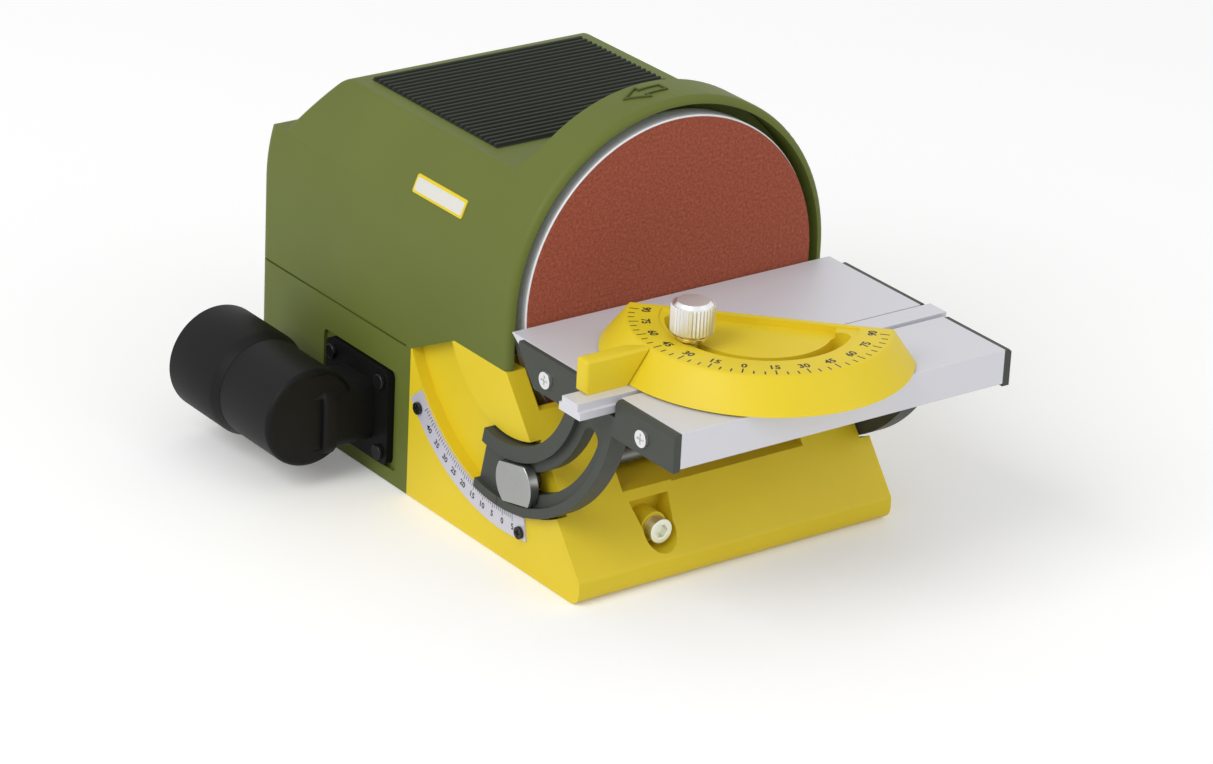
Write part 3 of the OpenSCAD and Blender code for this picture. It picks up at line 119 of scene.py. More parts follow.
class SocketKind(Enum):
    """What a socket of a node group carries."""

    COLOR = "NodeSocketColor"
    VALUE = "NodeSocketFloat"
    PLACE = "NodeSocketVector"


class Body(Enum):
    """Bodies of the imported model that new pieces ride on."""

    MACHINE = "machine"
    TABLE = "table"
    GAUGE_HEAD = "gauge_head"
    DIAL = "dial"


# Shader nodes


def set_inputs(node: Node, values: Mapping[Any, Any]) -> None:
    """Sets a node's input sockets, by name or number."""
    for socket, value in values.items():
        node.inputs[socket].default_value = value


def add_node(tree: Tree, kind: str, values: Mapping[Any, Any] | None = None) -> Node:
    """Adds a shader node.

    Args:
        tree: the node tree.
        kind: the node's type.
        values: its input sockets, by name or number.

    Returns:
        The new node.
    """
    node = tree.nodes.new(kind)
    set_inputs(node, values or {})
    return node


def add_math(tree: Tree, operation: str, values: Mapping[int, float] | None = None) -> Node:
    """Adds a math node.

    Args:
        tree: the node tree.
        operation: what it works out.
        values: its input sockets by number.

    Returns:
        The new node.
    """
    node = tree.nodes.new("ShaderNodeMath")
    node.operation = operation
    set_inputs(node, values or {})
    return node


class NodeGroups:
    """Shared surface effects, each built once and placed in the materials that use it."""

    @staticmethod
    def _new(name: str, inputs: Mapping[str, SocketKind]) -> Tree:
        """Starts a shader group that puts out a colour, a roughness and a height.

        Args:
            name: the group's name.
            inputs: the kind of each input by its name.

        Returns:
            The new node tree.
        """
        tree = bpy.data.node_groups.new(name, "ShaderNodeTree")
        outputs = {"Color": SocketKind.COLOR, "Roughness": SocketKind.VALUE, "Height": SocketKind.VALUE}
        for side, sockets in (("INPUT", inputs), ("OUTPUT", outputs)):
            for label, kind in sockets.items():
                tree.interface.new_socket(label, in_out=side, socket_type=kind.value)
        tree.nodes.new("NodeGroupInput").name = "in"
        tree.nodes.new("NodeGroupOutput").name = "out"
        return tree

    @staticmethod
    def _put_out(tree: Tree, shade: Socket, dulling: Socket, share: float, height: Socket) -> None:
        """Links a group's outputs.

        Args:
            tree: the group.
            shade: what the colour is multiplied by.
            dulling: the pattern that is added to the roughness.
            share: how much of that pattern is added.
            height: the height.
        """
        links, source, out = tree.links, tree.nodes["in"], tree.nodes["out"]
        tint = tree.nodes.new("ShaderNodeMix")
        tint.data_type = "RGBA"
        tint.blend_type = "MULTIPLY"
        tint.inputs["Factor"].default_value = 1.0
        links.new(source.outputs["Color"], tint.inputs[MIX_FIRST])
        links.new(shade, tint.inputs[MIX_SECOND])
        links.new(tint.outputs[MIX_RESULT], out.inputs["Color"])
        dull = add_math(tree, "MULTIPLY_ADD", {1: share})
        links.new(dulling, dull.inputs[0])
        links.new(source.outputs["Roughness"], dull.inputs[2])
        links.new(dull.outputs["Value"], out.inputs["Roughness"])
        links.new(height, out.inputs["Height"])

    @staticmethod
    def moulded_grain() -> Tree:
        """The fine sparked grain of a moulded part, with slow drifts of shade.

        Returns:
            A group that puts out colour, roughness and the grain's height.
        """
        found = bpy.data.node_groups.get("moulded_grain")
        if found:
            return found
        tree = NodeGroups._new("moulded_grain", {
            "Color": SocketKind.COLOR, "Grain Scale": SocketKind.VALUE, "Drift": SocketKind.VALUE,
            "Roughness": SocketKind.VALUE,
        })
        links, source = tree.links, tree.nodes["in"]
        coords = add_node(tree, "ShaderNodeTexCoord")
        grain = add_node(tree, "ShaderNodeTexNoise", {"Detail": 3.0, "Roughness": 0.65})
        slow = add_node(tree, "ShaderNodeTexNoise", {"Scale": 14.0, "Detail": 4.0})
        links.new(coords.outputs["Object"], grain.inputs["Vector"])
        links.new(coords.outputs["Object"], slow.inputs["Vector"])
        links.new(source.outputs["Grain Scale"], grain.inputs["Scale"])
        shade = add_node(tree, "ShaderNodeMapRange", {"From Min": 0.3, "From Max": 0.7})
        links.new(slow.outputs["Fac"], shade.inputs["Value"])
        for socket, sign in (("To Min", -1.0), ("To Max", 1.0)):
            swing = add_math(tree, "MULTIPLY_ADD", {1: sign, 2: 1.0})
            links.new(source.outputs["Drift"], swing.inputs[0])
            links.new(swing.outputs["Value"], shade.inputs[socket])
        height = grain.outputs["Fac"]
        NodeGroups._put_out(tree, shade.outputs["Result"], height, GRAIN_DULLING, height)
        return tree

    @staticmethod
    def brush_lines() -> Tree:
        """The fine parallel or round lines that a tool leaves in metal.

        Returns:
            A group that puts out colour, roughness and the lines' height.
        """
        found = bpy.data.node_groups.get("brush_lines")
        if found:
            return found
        tree = NodeGroups._new("brush_lines", {
            "Color": SocketKind.COLOR, "Vector": SocketKind.PLACE, "Line Scale": SocketKind.VALUE,
            "Contrast": SocketKind.VALUE, "Roughness": SocketKind.VALUE,
        })
        links, source = tree.links, tree.nodes["in"]
        lines = add_node(tree, "ShaderNodeTexNoise", {"Detail": 5.0, "Roughness": 0.7})
        links.new(source.outputs["Vector"], lines.inputs["Vector"])
        links.new(source.outputs["Line Scale"], lines.inputs["Scale"])
        centred = add_math(tree, "SUBTRACT", {1: 0.5})
        links.new(lines.outputs["Fac"], centred.inputs[0])
        swing = add_math(tree, "MULTIPLY_ADD", {2: 1.0})
        links.new(centred.outputs["Value"], swing.inputs[0])
        links.new(source.outputs["Contrast"], swing.inputs[1])
        NodeGroups._put_out(tree, swing.outputs["Value"], centred.outputs["Value"], LINE_DULLING,
                            lines.outputs["Fac"])
        return tree


# Finishes


@dataclass(frozen=True)
class Finish(ABC):
    """A surface: its name, colour and sheen. Each kind of finish adds its own pattern."""

    name: str
    color: Rgb
    roughness: float = 0.45
    metallic: float = 0.0
    specular: float = 0.5

    @property
    def rgba(self) -> tuple[float, float, float, float]:
        """The colour with full cover."""
        return (*self.color, 1.0)

    def material(self) -> bpy.types.Material:
        """Builds the material once.

        Returns:
            The material with this finish's name.
        """
        found = bpy.data.materials.get(self.name)
        if found:
            return found
        made = bpy.data.materials.new(self.name)
        made.use_nodes = True
        made.diffuse_color = self.rgba
        tree = made.node_tree
        set_inputs(tree.nodes[SHADER], {"Base Color": self.rgba, "Roughness": self.roughness,
                                        "Metallic": self.metallic, "Specular IOR Level": self.specular})
        self.pattern(tree)
        return made

    @abstractmethod
    def pattern(self, tree: Tree) -> None:
        """Adds the finish's pattern to the material's node tree."""

    def lay(self, tree: Tree, effect: Tree, values: Mapping[str, float], depth: float, height: float) -> Node:
        """Places a shared effect in the material and links it to the shader.

        Args:
            tree: the material's node tree.
            effect: the node group.
            values: the group's inputs, besides the colour.
            depth: strength of the bump.
            height: height of the bump in metres.

        Returns:
            The placed group.
        """
        shader = tree.nodes[SHADER]
        group = tree.nodes.new("ShaderNodeGroup")
        group.node_tree = effect
        set_inputs(group, {"Color": self.rgba, **values})
        bump = add_node(tree, "ShaderNodeBump", {"Strength": depth, "Distance": height})
        tree.links.new(group.outputs["Color"], shader.inputs["Base Color"])
        tree.links.new(group.outputs["Roughness"], shader.inputs["Roughness"])
        tree.links.new(group.outputs["Height"], bump.inputs["Height"])
        tree.links.new(bump.outputs["Normal"], shader.inputs["Normal"])
        return group


@dataclass(frozen=True)
class MouldedPlastic(Finish):
    """Moulded plastic with a sparked grain."""

    grain: float = 2600.0
    drift: float = 0.05
    depth: float = 0.1

    def pattern(self, tree: Tree) -> None:
        """Adds the grain, which leaves the mean roughness as it is.

        Args:
            tree: the material's node tree.
        """
        least = self.roughness - GRAIN_DULLING / 2
        values = {"Grain Scale": self.grain, "Drift": self.drift, "Roughness": least}
        self.lay(tree, NodeGroups.moulded_grain(), values, self.depth, GRAIN_HEIGHT)


@dataclass(frozen=True)
class BrushedMetal(Finish):
    """Metal with straight tool lines."""

    metallic: float = 1.0
    lines: Axis = Axis.X
    line_scale: float = 55.0
    contrast: float = 0.14
    depth: float = 0.06

    def pattern(self, tree: Tree) -> None:
        """Stretches the noise along the lines.

        Args:
            tree: the material's node tree.
        """
        coords = add_node(tree, "ShaderNodeTexCoord")
        stretch = add_node(tree, "ShaderNodeMapping", {"Scale": self.lines.value})
        tree.links.new(coords.outputs["Object"], stretch.inputs["Vector"])
        self.draw_lines(tree, stretch.outputs["Vector"])

    def draw_lines(self, tree: Tree, vector: Socket) -> None:
        """Places the line group on a vector.

        Args:
            tree: the material's node tree.
            vector: the output socket with the pattern's coordinates.
        """
        values = {"Line Scale": self.line_scale, "Contrast": self.contrast, "Roughness": self.roughness}
        group = self.lay(tree, NodeGroups.brush_lines(), values, self.depth, LINE_HEIGHT)
        tree.links.new(vector, group.inputs["Vector"])


@dataclass(frozen=True)
class TurnedMetal(BrushedMetal):
    """Metal turned about an axis along Y or X, with round tool lines."""

    centre: Triple = (0.0, 0.0, 0.09)
    turn: Triple = (math.pi / 2, 0.0, 0.0)
    ring_scale: float = 40.0

    def pattern(self, tree: Tree) -> None:
        """Wraps the lines round the turning axis.

        Args:
            tree: the material's node tree.
        """
        links = tree.links
        coords = add_node(tree, "ShaderNodeTexCoord")
        place = tree.nodes.new("ShaderNodeMapping")
        place.vector_type = "TEXTURE"
        set_inputs(place, {"Location": self.centre, "Rotation": self.turn})
        along = add_node(tree, "ShaderNodeSeparateXYZ")
        across = add_node(tree, "ShaderNodeCombineXYZ")
        radius = add_node(tree, "ShaderNodeVectorMath")
        radius.operation = "LENGTH"
        vector = add_node(tree, "ShaderNodeCombineXYZ")
        links.new(coords.outputs["Object"], place.inputs["Vector"])
        links.new(place.outputs["Vector"], along.inputs["Vector"])
        for axis in ("X", "Y"):
            links.new(along.outputs[axis], across.inputs[axis])
        links.new(across.outputs["Vector"], radius.inputs[0])
        for measure, axis in ((radius.outputs["Value"], "X"), (along.outputs["Z"], "Y")):
            scaled = add_math(tree, "MULTIPLY", {1: self.ring_scale})
            links.new(measure, scaled.inputs[0])
            links.new(scaled.outputs["Value"], vector.inputs[axis])
        self.draw_lines(tree, vector.outputs["Vector"])


@dataclass(frozen=True)
class AbrasiveCloth(Finish):
    """Resin bonded grit: dark and light grains in a red brown bond."""

    grit_scale: float = 1500.0
    patch_scale: float = 900.0
    dark: float = 0.6
    light: float = 1.5
    bleach: float = 0.01
    depth: float = 0.5

    def pattern(self, tree: Tree) -> None:
        """Mixes grains of three shades and raises them.

        Args:
            tree: the material's node tree.
        """
        links, shader = tree.links, tree.nodes[SHADER]
        coords = add_node(tree, "ShaderNodeTexCoord")
        grit = add_node(tree, "ShaderNodeTexVoronoi", {"Scale": self.grit_scale})
        patch = add_node(tree, "ShaderNodeTexNoise",
                         {"Scale": self.patch_scale, "Detail": 6.0, "Roughness": 0.75})
        links.new(coords.outputs["Object"], grit.inputs["Vector"])
        links.new(coords.outputs["Object"], patch.inputs["Vector"])
        ramp = add_node(tree, "ShaderNodeValToRGB")
        low, high = ramp.color_ramp.elements
        low.position = 0.32
        low.color = (*[c * self.dark for c in self.color], 1.0)
        high.position = 0.72
        high.color = (*[min(1.0, c * self.light + self.bleach) for c in self.color], 1.0)
        ramp.color_ramp.elements.new(0.5).color = self.rgba
        links.new(patch.outputs["Fac"], ramp.inputs["Fac"])
        links.new(ramp.outputs["Color"], shader.inputs["Base Color"])
        bump = add_node(tree, "ShaderNodeBump", {"Strength": self.depth, "Distance": GRIT_HEIGHT})
        links.new(grit.outputs["Distance"], bump.inputs["Height"])
        links.new(bump.outputs["Normal"], shader.inputs["Normal"])


class Finishes:
    """The sander's finishes by name."""

    GREEN = MouldedPlastic("green_moulding", (0.122, 0.150, 0.024), 0.55, specular=0.28, grain=2300.0,
                           depth=0.14)
    # Darker green of the ring arrow: painted shade along its raised outline
    GREEN_EDGE = MouldedPlastic("green_painted_shade", (0.072, 0.088, 0.016), 0.6, specular=0.25, grain=2300.0)
    YELLOW = MouldedPlastic("yellow_moulding", (0.770, 0.585, 0.018), 0.45, specular=0.35, depth=0.05)
    BLACK = MouldedPlastic("black_moulding", (0.0055, 0.0056, 0.0054), 0.5, specular=0.17)
    RUBBER = MouldedPlastic("mat_rubber", (0.011, 0.015, 0.008), 0.6, specular=0.25, grain=1800.0, depth=0.15)
    BRACKET = MouldedPlastic("bracket_paint", (0.050, 0.056, 0.047), 0.5, specular=0.3, grain=1500.0,
                             depth=0.14)
    RED = MouldedPlastic("rocker_red", (0.42, 0.014, 0.012), 0.25, depth=0.02)
    BOARD = MouldedPlastic("board_coat", (0.01, 0.09, 0.03), 0.3, grain=900.0)
    SLEEVE_BLUE = MouldedPlastic("capacitor_sleeve", (0.012, 0.02, 0.12), 0.25)
    CARBON = MouldedPlastic("brush_carbon", (0.02, 0.02, 0.02), 0.6, grain=3500.0)
    FERRITE = MouldedPlastic("magnet_ferrite", (0.045, 0.045, 0.048), 0.6, grain=1800.0)
    INK = MouldedPlastic("print_ink", (0.012, 0.011, 0.010), 0.5, grain=3000.0, depth=0.02)
    WHITE_INK = MouldedPlastic("white_print", (0.75, 0.75, 0.73), 0.5, grain=3000.0, depth=0.02)
    PALE = MouldedPlastic("plate_field", (0.70, 0.69, 0.64), 0.5, specular=0.3, grain=3000.0, depth=0.01)
    TABLE = BrushedMetal("table_anodised", (0.675, 0.675, 0.72), 0.5, metallic=0.25, specular=0.3,
                         contrast=0.05, depth=0.03)
    STRIP = BrushedMetal("scale_strip", (0.62, 0.61, 0.70), 0.45, metallic=0.35, lines=Axis.Y, contrast=0.08)
    STEEL = BrushedMetal("zinc_plated_steel", (0.66, 0.66, 0.64), 0.26, lines=Axis.Z, contrast=0.2)
    DARK_STEEL = BrushedMetal("blackened_steel", (0.035, 0.035, 0.036), 0.35, metallic=0.8, contrast=0.2)
    CHROME = BrushedMetal("knob_plating", (0.80, 0.80, 0.80), 0.32, lines=Axis.Z, contrast=0.05, depth=0.02)
    YELLOW_ZINC = BrushedMetal("yellow_plating", (0.78, 0.68, 0.34), 0.22, lines=Axis.Z, contrast=0.08)
    PALE_ZINC = BrushedMetal("pale_plating", (0.90, 0.92, 0.80), 0.4, lines=Axis.Z, contrast=0.08)
    # Darker steel of the clamp's cross rod: partly its own dull steel, partly painted shade under the table
    ROD = BrushedMetal("rod_steel_and_painted_shade", (0.24, 0.25, 0.24), 0.5, contrast=0.15)
    CAST = BrushedMetal("shield_casting", (0.42, 0.43, 0.45), 0.5, contrast=0.1)
    SHEET_STEEL = BrushedMetal("motor_sheet", (0.36, 0.37, 0.39), 0.38, lines=Axis.Y)
    LAMINATION = BrushedMetal("core_laminations", (0.28, 0.28, 0.29), 0.4, lines=Axis.Z, contrast=0.4)
    COPPER = BrushedMetal("winding_copper", (0.62, 0.24, 0.09), 0.32, contrast=0.35)
    BRASS = BrushedMetal("turned_brass", (0.68, 0.48, 0.16), 0.28, contrast=0.15)
    DISC = TurnedMetal("disc_turned", (0.84, 0.87, 0.90), 0.4, metallic=0.2, contrast=0.3, line_scale=60.0)
    CLAMP = TurnedMetal("clamp_turned", (0.40, 0.41, 0.41), 0.36, contrast=0.5, line_scale=90.0,
                        centre=(0.0, -0.01223, 0.03438), turn=(0.0, math.pi / 2, 0.0))
    ABRASIVE = AbrasiveCloth("abrasive_grit", (0.322, 0.077, 0.042), 0.85, specular=0.3)


# Mesh helpers


@dataclass(frozen=True)
class EdgeRound:
    """Sharp outward edges to round: those whose two ends both lie where the test says, in millimetres."""

    test: Callable[[Vector], bool]
    radius: float
    segments: int = 4
    least_angle: float = 20.0
    least_length: float = 0.0

    def apply(self, shape: Shape) -> int:
        """Rounds the edges in place.

        Args:
            shape: the bmesh in metres.

        Returns:
            The number of edges that were rounded.
        """
        chosen = []
        for edge in shape.edges:
            if not edge.is_convex or edge.calc_face_angle(0.0) < math.radians(self.least_angle):
                continue
            if edge.calc_length() < self.least_length * MM:
                continue
            if all(self.test(vert.co / MM) for vert in edge.verts):
                chosen.append(edge)
        bmesh.ops.bevel(shape, geom=chosen, offset=self.radius * MM, offset_type="OFFSET",
                        segments=self.segments, profile=0.5, affect="EDGES", clamp_overlap=False, material=-1)
        return len(chosen)


@dataclass
class Workshop:
    """Makes pieces in the CAD frame and reports them."""

    frame: dict[str, Any]
    made: list[str] = field(default_factory=list)

    def keep(self, name: str, shape: Shape, finish: Finish, body: Body | str, slot: str) -> Piece:
        """Turns a finished bmesh into a piece that rides on a body.

        Args:
            name: the piece's name.
            shape: the bmesh in metres in the CAD frame; it is freed.
            finish: the piece's finish.
            body: the body that it moves with.
            slot: the record's material slot; not used.

        Returns:
            The new object.
        """
        mesh = bpy.data.meshes.new(name)
        shape.to_mesh(mesh)
        shape.free()
        piece = bpy.data.objects.new(name, mesh)
        bpy.context.scene.collection.objects.link(piece)
        mesh.materials.append(finish.material())
        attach(piece, body.value if isinstance(body, Body) else body)
        self.made.append(name)
        LOG.info("piece %s: %d faces", name, len(mesh.polygons))
        return piece

    def dress(self, node: str, finish: Finish) -> None:
        """Gives a CAD node its finish.

        Args:
            node: the CAD node.
            finish: its finish.
        """
        mesh = self.frame["nodes"][node].data
        mesh.materials.clear()
        mesh.materials.append(finish.material())
        LOG.info("node %s: %s", node, finish.name)

    def soften(self, node: str, finish: Finish, width: float, segments: int = 3, smooth: float = 32.0,
               rounds: Sequence[EdgeRound] = (), join: float = 0.4) -> Piece:
        """Replaces a node by a copy with joined faces, smooth curves and small round edges.

        Args:
            node: the CAD node.
            finish: its finish.
            width: the radius in millimetres of every sharp edge, or 0 to leave them.
            segments: steps across each rounded edge.
            smooth: the angle in degrees up to which neighbouring faces shade as one.
            rounds: groups of edges with their own, larger radius.
            join: the angle in degrees up to which neighbouring faces are joined into one.

        Returns:
            The object that stands for the node.
        """
        source = self.frame["nodes"][node]
        shape = bmesh.new()
        shape.from_mesh(source.data)
        bmesh.ops.remove_doubles(shape, verts=shape.verts, dist=WELD)
        bmesh.ops.dissolve_limit(shape, angle_limit=math.radians(join), verts=shape.verts, edges=shape.edges)
        for group in rounds:
            LOG.info("%s: %d edges rounded", node, group.apply(shape))
        for face in shape.faces:
            face.smooth = True
        for edge in shape.edges:
            edge.smooth = len(edge.link_faces) == 2 and edge.calc_face_angle(0.0) < math.radians(smooth)
        record_slots = {s["node"]: s["material_slot"] for s in self.frame["record"]["subparts"]}
        piece = self.keep(f"{node}_finished", shape, finish, source["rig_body"], record_slots[node])
        if width > 0.0:
            rounding = piece.modifiers.new("round edges", "BEVEL")
            rounding.width = width * MM
            rounding.segments = segments
            rounding.limit_method = "ANGLE"
            rounding.angle_limit = math.radians(smooth)
            rounding.use_clamp_overlap = True
            rounding.harden_normals = True
        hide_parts(node)
        return piece


def add_block(shape: Shape, size: Sequence[float], place: Matrix) -> None:
    """Adds a block to a bmesh, with its size in millimetres and its place in metres."""
    scale = Matrix.Diagonal((*[s * MM for s in size], 1.0))
    bmesh.ops.create_cube(shape, size=1.0, matrix=place @ scale)


def add_text(shape: Shape, words: str, height: float, place: Matrix, weight: float = 0.02) -> None:
    """Adds flat figures to a bmesh, facing along their own Z.

    Args:
        shape: the bmesh.
        words: the figures.
        height: their height in millimetres.
        place: their middle and turn, in metres.
        weight: how far the strokes are thickened, as a share of the height.
    """
    curve = bpy.data.curves.new("figures", "FONT")
    curve.body = words
    curve.align_x = "CENTER"
    curve.align_y = "CENTER"
    curve.size = height * MM * FONT_SIZE
    curve.resolution_u = 3
    curve.extrude = FIGURE_HALF
    curve.offset = weight * height * MM
    holder = bpy.data.objects.new("figures", curve)
    bpy.context.scene.collection.objects.link(holder)
    bpy.context.view_layer.update()
    mesh = bpy.data.meshes.new_from_object(holder.evaluated_get(bpy.context.evaluated_depsgraph_get()))
    mesh.transform(place)
    shape.from_mesh(mesh)
    bpy.data.objects.remove(holder)
    bpy.data.curves.remove(curve)
    bpy.data.meshes.remove(mesh)


def thicken(shape: Shape) -> None:
    """Gives a flat bmesh a second side, one unit above the first.

    Args:
        shape: the bmesh.
    """
    raised = bmesh.ops.extrude_face_region(shape, geom=shape.faces[:])
    top = [v for v in raised["geom"] if isinstance(v, bmesh.types.BMVert)]
    bmesh.ops.translate(shape, vec=(0.0, 0.0, 1.0), verts=top)
    bmesh.ops.recalc_face_normals(shape, faces=shape.faces)


def inset_outline(outline: Sequence[Vector], depth: float) -> list[Vector]:
    """Moves the sides of a clockwise outline inwards.

    Args:
        outline: its corners, in two dimensions.
        depth: how far each side moves.

    Returns:
        The corners of the inner outline, in the same order.
    """
    inner = []
    for i, corner in enumerate(outline):
        before = (corner - outline[i - 1]).normalized()
        after = (outline[(i + 1) % len(outline)] - corner).normalized()
        sides = [Vector((way.y, -way.x)) for way in (before, after)]
        inner.append(corner + (sides[0] + sides[1]) * (depth / (1.0 + sides[0].dot(sides[1]))))
    return inner


def frame_of(origin: Sequence[float], x_axis: Sequence[float], y_axis: Sequence[float]) -> Matrix:
    """A place given by its origin and two of its axes.

    Args:
        origin: the place in millimetres.
        x_axis: direction of its X axis.
        y_axis: direction of its Y axis.

    Returns:
        The place as a matrix in metres, whose Z axis is X cross Y.
    """
    x_dir = Vector(x_axis).normalized()
    y_dir = Vector(y_axis).normalized()
    z_dir = x_dir.cross(y_dir)
    turned = Matrix((x_dir, y_dir, z_dir)).transposed().to_4x4()
    turned.translation = Vector(origin) * MM
    return turned


def tilt_spot(x: float, radius: float, angle: float) -> Matrix:
    """A place on an arc round the tilt axis: X along the arc, Y towards the axis, Z out to the left.

    Args:
        x: the place across the machine in millimetres.
        radius: distance from the tilt axis in millimetres.
        angle: degrees past straight down, to the rear.

    Returns:
        The place as a matrix in metres.
    """
    a = math.radians(angle)
    inward = (0.0, -math.sin(a), math.cos(a))
    along = (0.0, -math.cos(a), -math.sin(a))
    return frame_of((x, TILT_Y + radius * math.sin(a), TILT_Z - radius * math.cos(a)), along, inward)


@dataclass(frozen=True)
class ScalePrint:
    """The lines and figures of a printed round scale, in degrees and millimetres."""

    first: int
    last: int
    step: int
    figure_step: int
    start_r: float
    way: float
    figure_r: float
    long_line: float
    short_line: float
    line_width: float
    figure_height: float
    figure_weight: float
    bare: tuple[int, ...] = ()

    def draw(self, spot: Callable[[float, float], Matrix]) -> Shape:
        """Draws a line at each step, and a figure at each longer one that isn't to stay bare.

        Args:
            spot: gives the place at a radius and an angle.

        Returns:
            The print as a bmesh in metres.
        """
        shape = bmesh.new()
        for degree in range(self.first, self.last + 1, self.step):
            at_step = degree % self.figure_step == 0
            line = self.long_line if at_step else self.short_line
            middle = self.start_r + self.way * line / 2
            add_block(shape, (self.line_width, line, PRINT_THICKNESS), spot(middle, degree))
            if at_step and degree not in self.bare:
                add_text(shape, str(abs(degree)), self.figure_height, spot(self.figure_r, degree),
                         self.figure_weight)
        return shape


# Sub-assemblies


@dataclass
class SubAssembly(ABC):
    """Pieces of the machine that belong together, and the workshop that makes them."""

    shop: Workshop

    @abstractmethod
    def build(self) -> None:
        """Dresses the nodes of these pieces, and adds what the solids don't have."""


@dataclass(frozen=True)
class PlateLayer:
    """A layer of the wall plate, with how far it reaches past the plate's sides and off the wall."""

    name: str
    finish: Finish
    grow: float
    lift: float


@dataclass
class Housing(SubAssembly):
    """The green shells with the mat, the direction arrow and the bare plate on the wall."""

    half_width: float = 69.5
    axis_height: float = 90.0
    roof_y: Span = (26.1, 150.6)
    roof_z: float = 109.9
    roof_round: float = 1.4
    plate_y: Span = (38.5, 67.5)
    plate_z: Span = (115.1, 119.7)
    plate_corner: float = 0.8
    plate_root: float = 0.4
    plate_layers: tuple[PlateLayer, ...] = (
        PlateLayer("wall_plate_rim", Finishes.YELLOW, 0.9, 0.3),
        PlateLayer("wall_plate", Finishes.PALE, 0.0, 0.4),
    )
    arrow_x: Span = (-16.0, 1.5)
    arrow_y: Span = (7.5, 18.0)
    arrow_line: float = 0.8
    arrow_lift: float = 0.6
    arrow_root: float = 0.3

    def build(self) -> None:
        """Dresses the shells and adds the plate and the arrow."""
        edge = EdgeRound(self.on_roof_edge, self.roof_round)
        self.shop.soften("upper_housing", Finishes.GREEN, 0.0, rounds=[edge])
        self.shop.soften("lower_housing", Finishes.GREEN, 0.0)
        self.shop.soften("roof_mat", Finishes.RUBBER, 0.3, 2)
        self.shop.soften("cable_gland", Finishes.BLACK, 0.4, 2)
        self.shop.soften("housing_screws", Finishes.STEEL, 0.0)
        self.shop.dress("base_screws", Finishes.STEEL)
        for layer in self.plate_layers:
            self.wall_plate(layer)
        self.arrow()

    def on_roof_edge(self, spot: Vector) -> bool:
        """Tells whether a corner, in millimetres, lies where the roof cuts the arch, behind the ring."""
        off_arch = math.hypot(spot.x, spot.z - self.axis_height) - self.half_width
        return abs(off_arch) < NEAR and self.roof_y[0] < spot.y < self.roof_y[1] and spot.z > self.roof_z

    def on_arch(self, x: float, lift: float) -> float:
        """Height of a point lifted off the arch at x, all in millimetres."""
        return self.axis_height + math.sqrt((self.half_width + lift) ** 2 - x * x)

    def wall_plate(self, layer: PlateLayer) -> None:
        """Adds a thin layer of the bare plate, bent to the left wall.

        Args:
            layer: the layer.
        """
        length = self.plate_y[1] - self.plate_y[0] + 2 * layer.grow
        height = self.plate_z[1] - self.plate_z[0] + 2 * layer.grow
        shape = bmesh.new()
        bmesh.ops.create_grid(shape, x_segments=2, y_segments=10, size=0.5)
        corners = [v for v in shape.verts if len(v.link_edges) == 2]
        bmesh.ops.scale(shape, vec=(length, height, 1.0), verts=shape.verts)
        bmesh.ops.bevel(shape, geom=corners, offset=self.plate_corner, offset_type="OFFSET", segments=4,
                        profile=0.5, affect="VERTICES", material=-1)
        thicken(shape)
        middle_y = sum(self.plate_y) / 2
        middle_z = sum(self.plate_z) / 2
        for vert in shape.verts:
            z = middle_z + vert.co.y
            radius = self.half_width + (layer.lift if vert.co.z > 0.5 else -self.plate_root)
            x = -math.sqrt(radius ** 2 - (z - self.axis_height) ** 2)
            vert.co = Vector((x, middle_y - vert.co.x, z)) * MM
        bmesh.ops.recalc_face_normals(shape, faces=shape.faces)
        self.shop.keep(layer.name, shape, layer.finish, Body.MACHINE, "yellow_shell")

    def arrow(self) -> None:
        """Adds the raised outline arrow that shows which way the disc turns, on top of the ring, in a darker
        green that is painted shade.
        """
        x0, x1 = self.arrow_x
        y0, y1 = self.arrow_y
        neck = (x0 + x1) / 2
        quarter = (y1 - y0) / 4
        corners = ((x0, (y0 + y1) / 2), (neck, y1), (neck, y1 - quarter), (x1, y1 - quarter),
                   (x1, y0 + quarter), (neck, y0 + quarter), (neck, y0))
        outer = [Vector(corner) for corner in corners]
        inner = inset_outline(outer, self.arrow_line)
        shape = bmesh.new()
        rings = [[shape.verts.new((p.x, p.y, 0.0)) for p in loop] for loop in (outer, inner)]
        for i in range(len(outer)):
            shape.faces.new((rings[0][i - 1], rings[0][i], rings[1][i], rings[1][i - 1]))
        bmesh.ops.subdivide_edges(shape, edges=shape.edges[:], cuts=3, use_grid_fill=True)
        thicken(shape)
        for vert in shape.verts:
            lift = self.arrow_lift if vert.co.z > 0.5 else -self.arrow_root
            vert.co = Vector((vert.co.x, vert.co.y, self.on_arch(vert.co.x, lift))) * MM
        bmesh.ops.recalc_face_normals(shape, faces=shape.faces)
        # The arrow's darker green is painted shade along its raised outline.
        self.shop.keep("ring_arrow", shape, Finishes.GREEN_EDGE, Body.MACHINE, "green_shell")


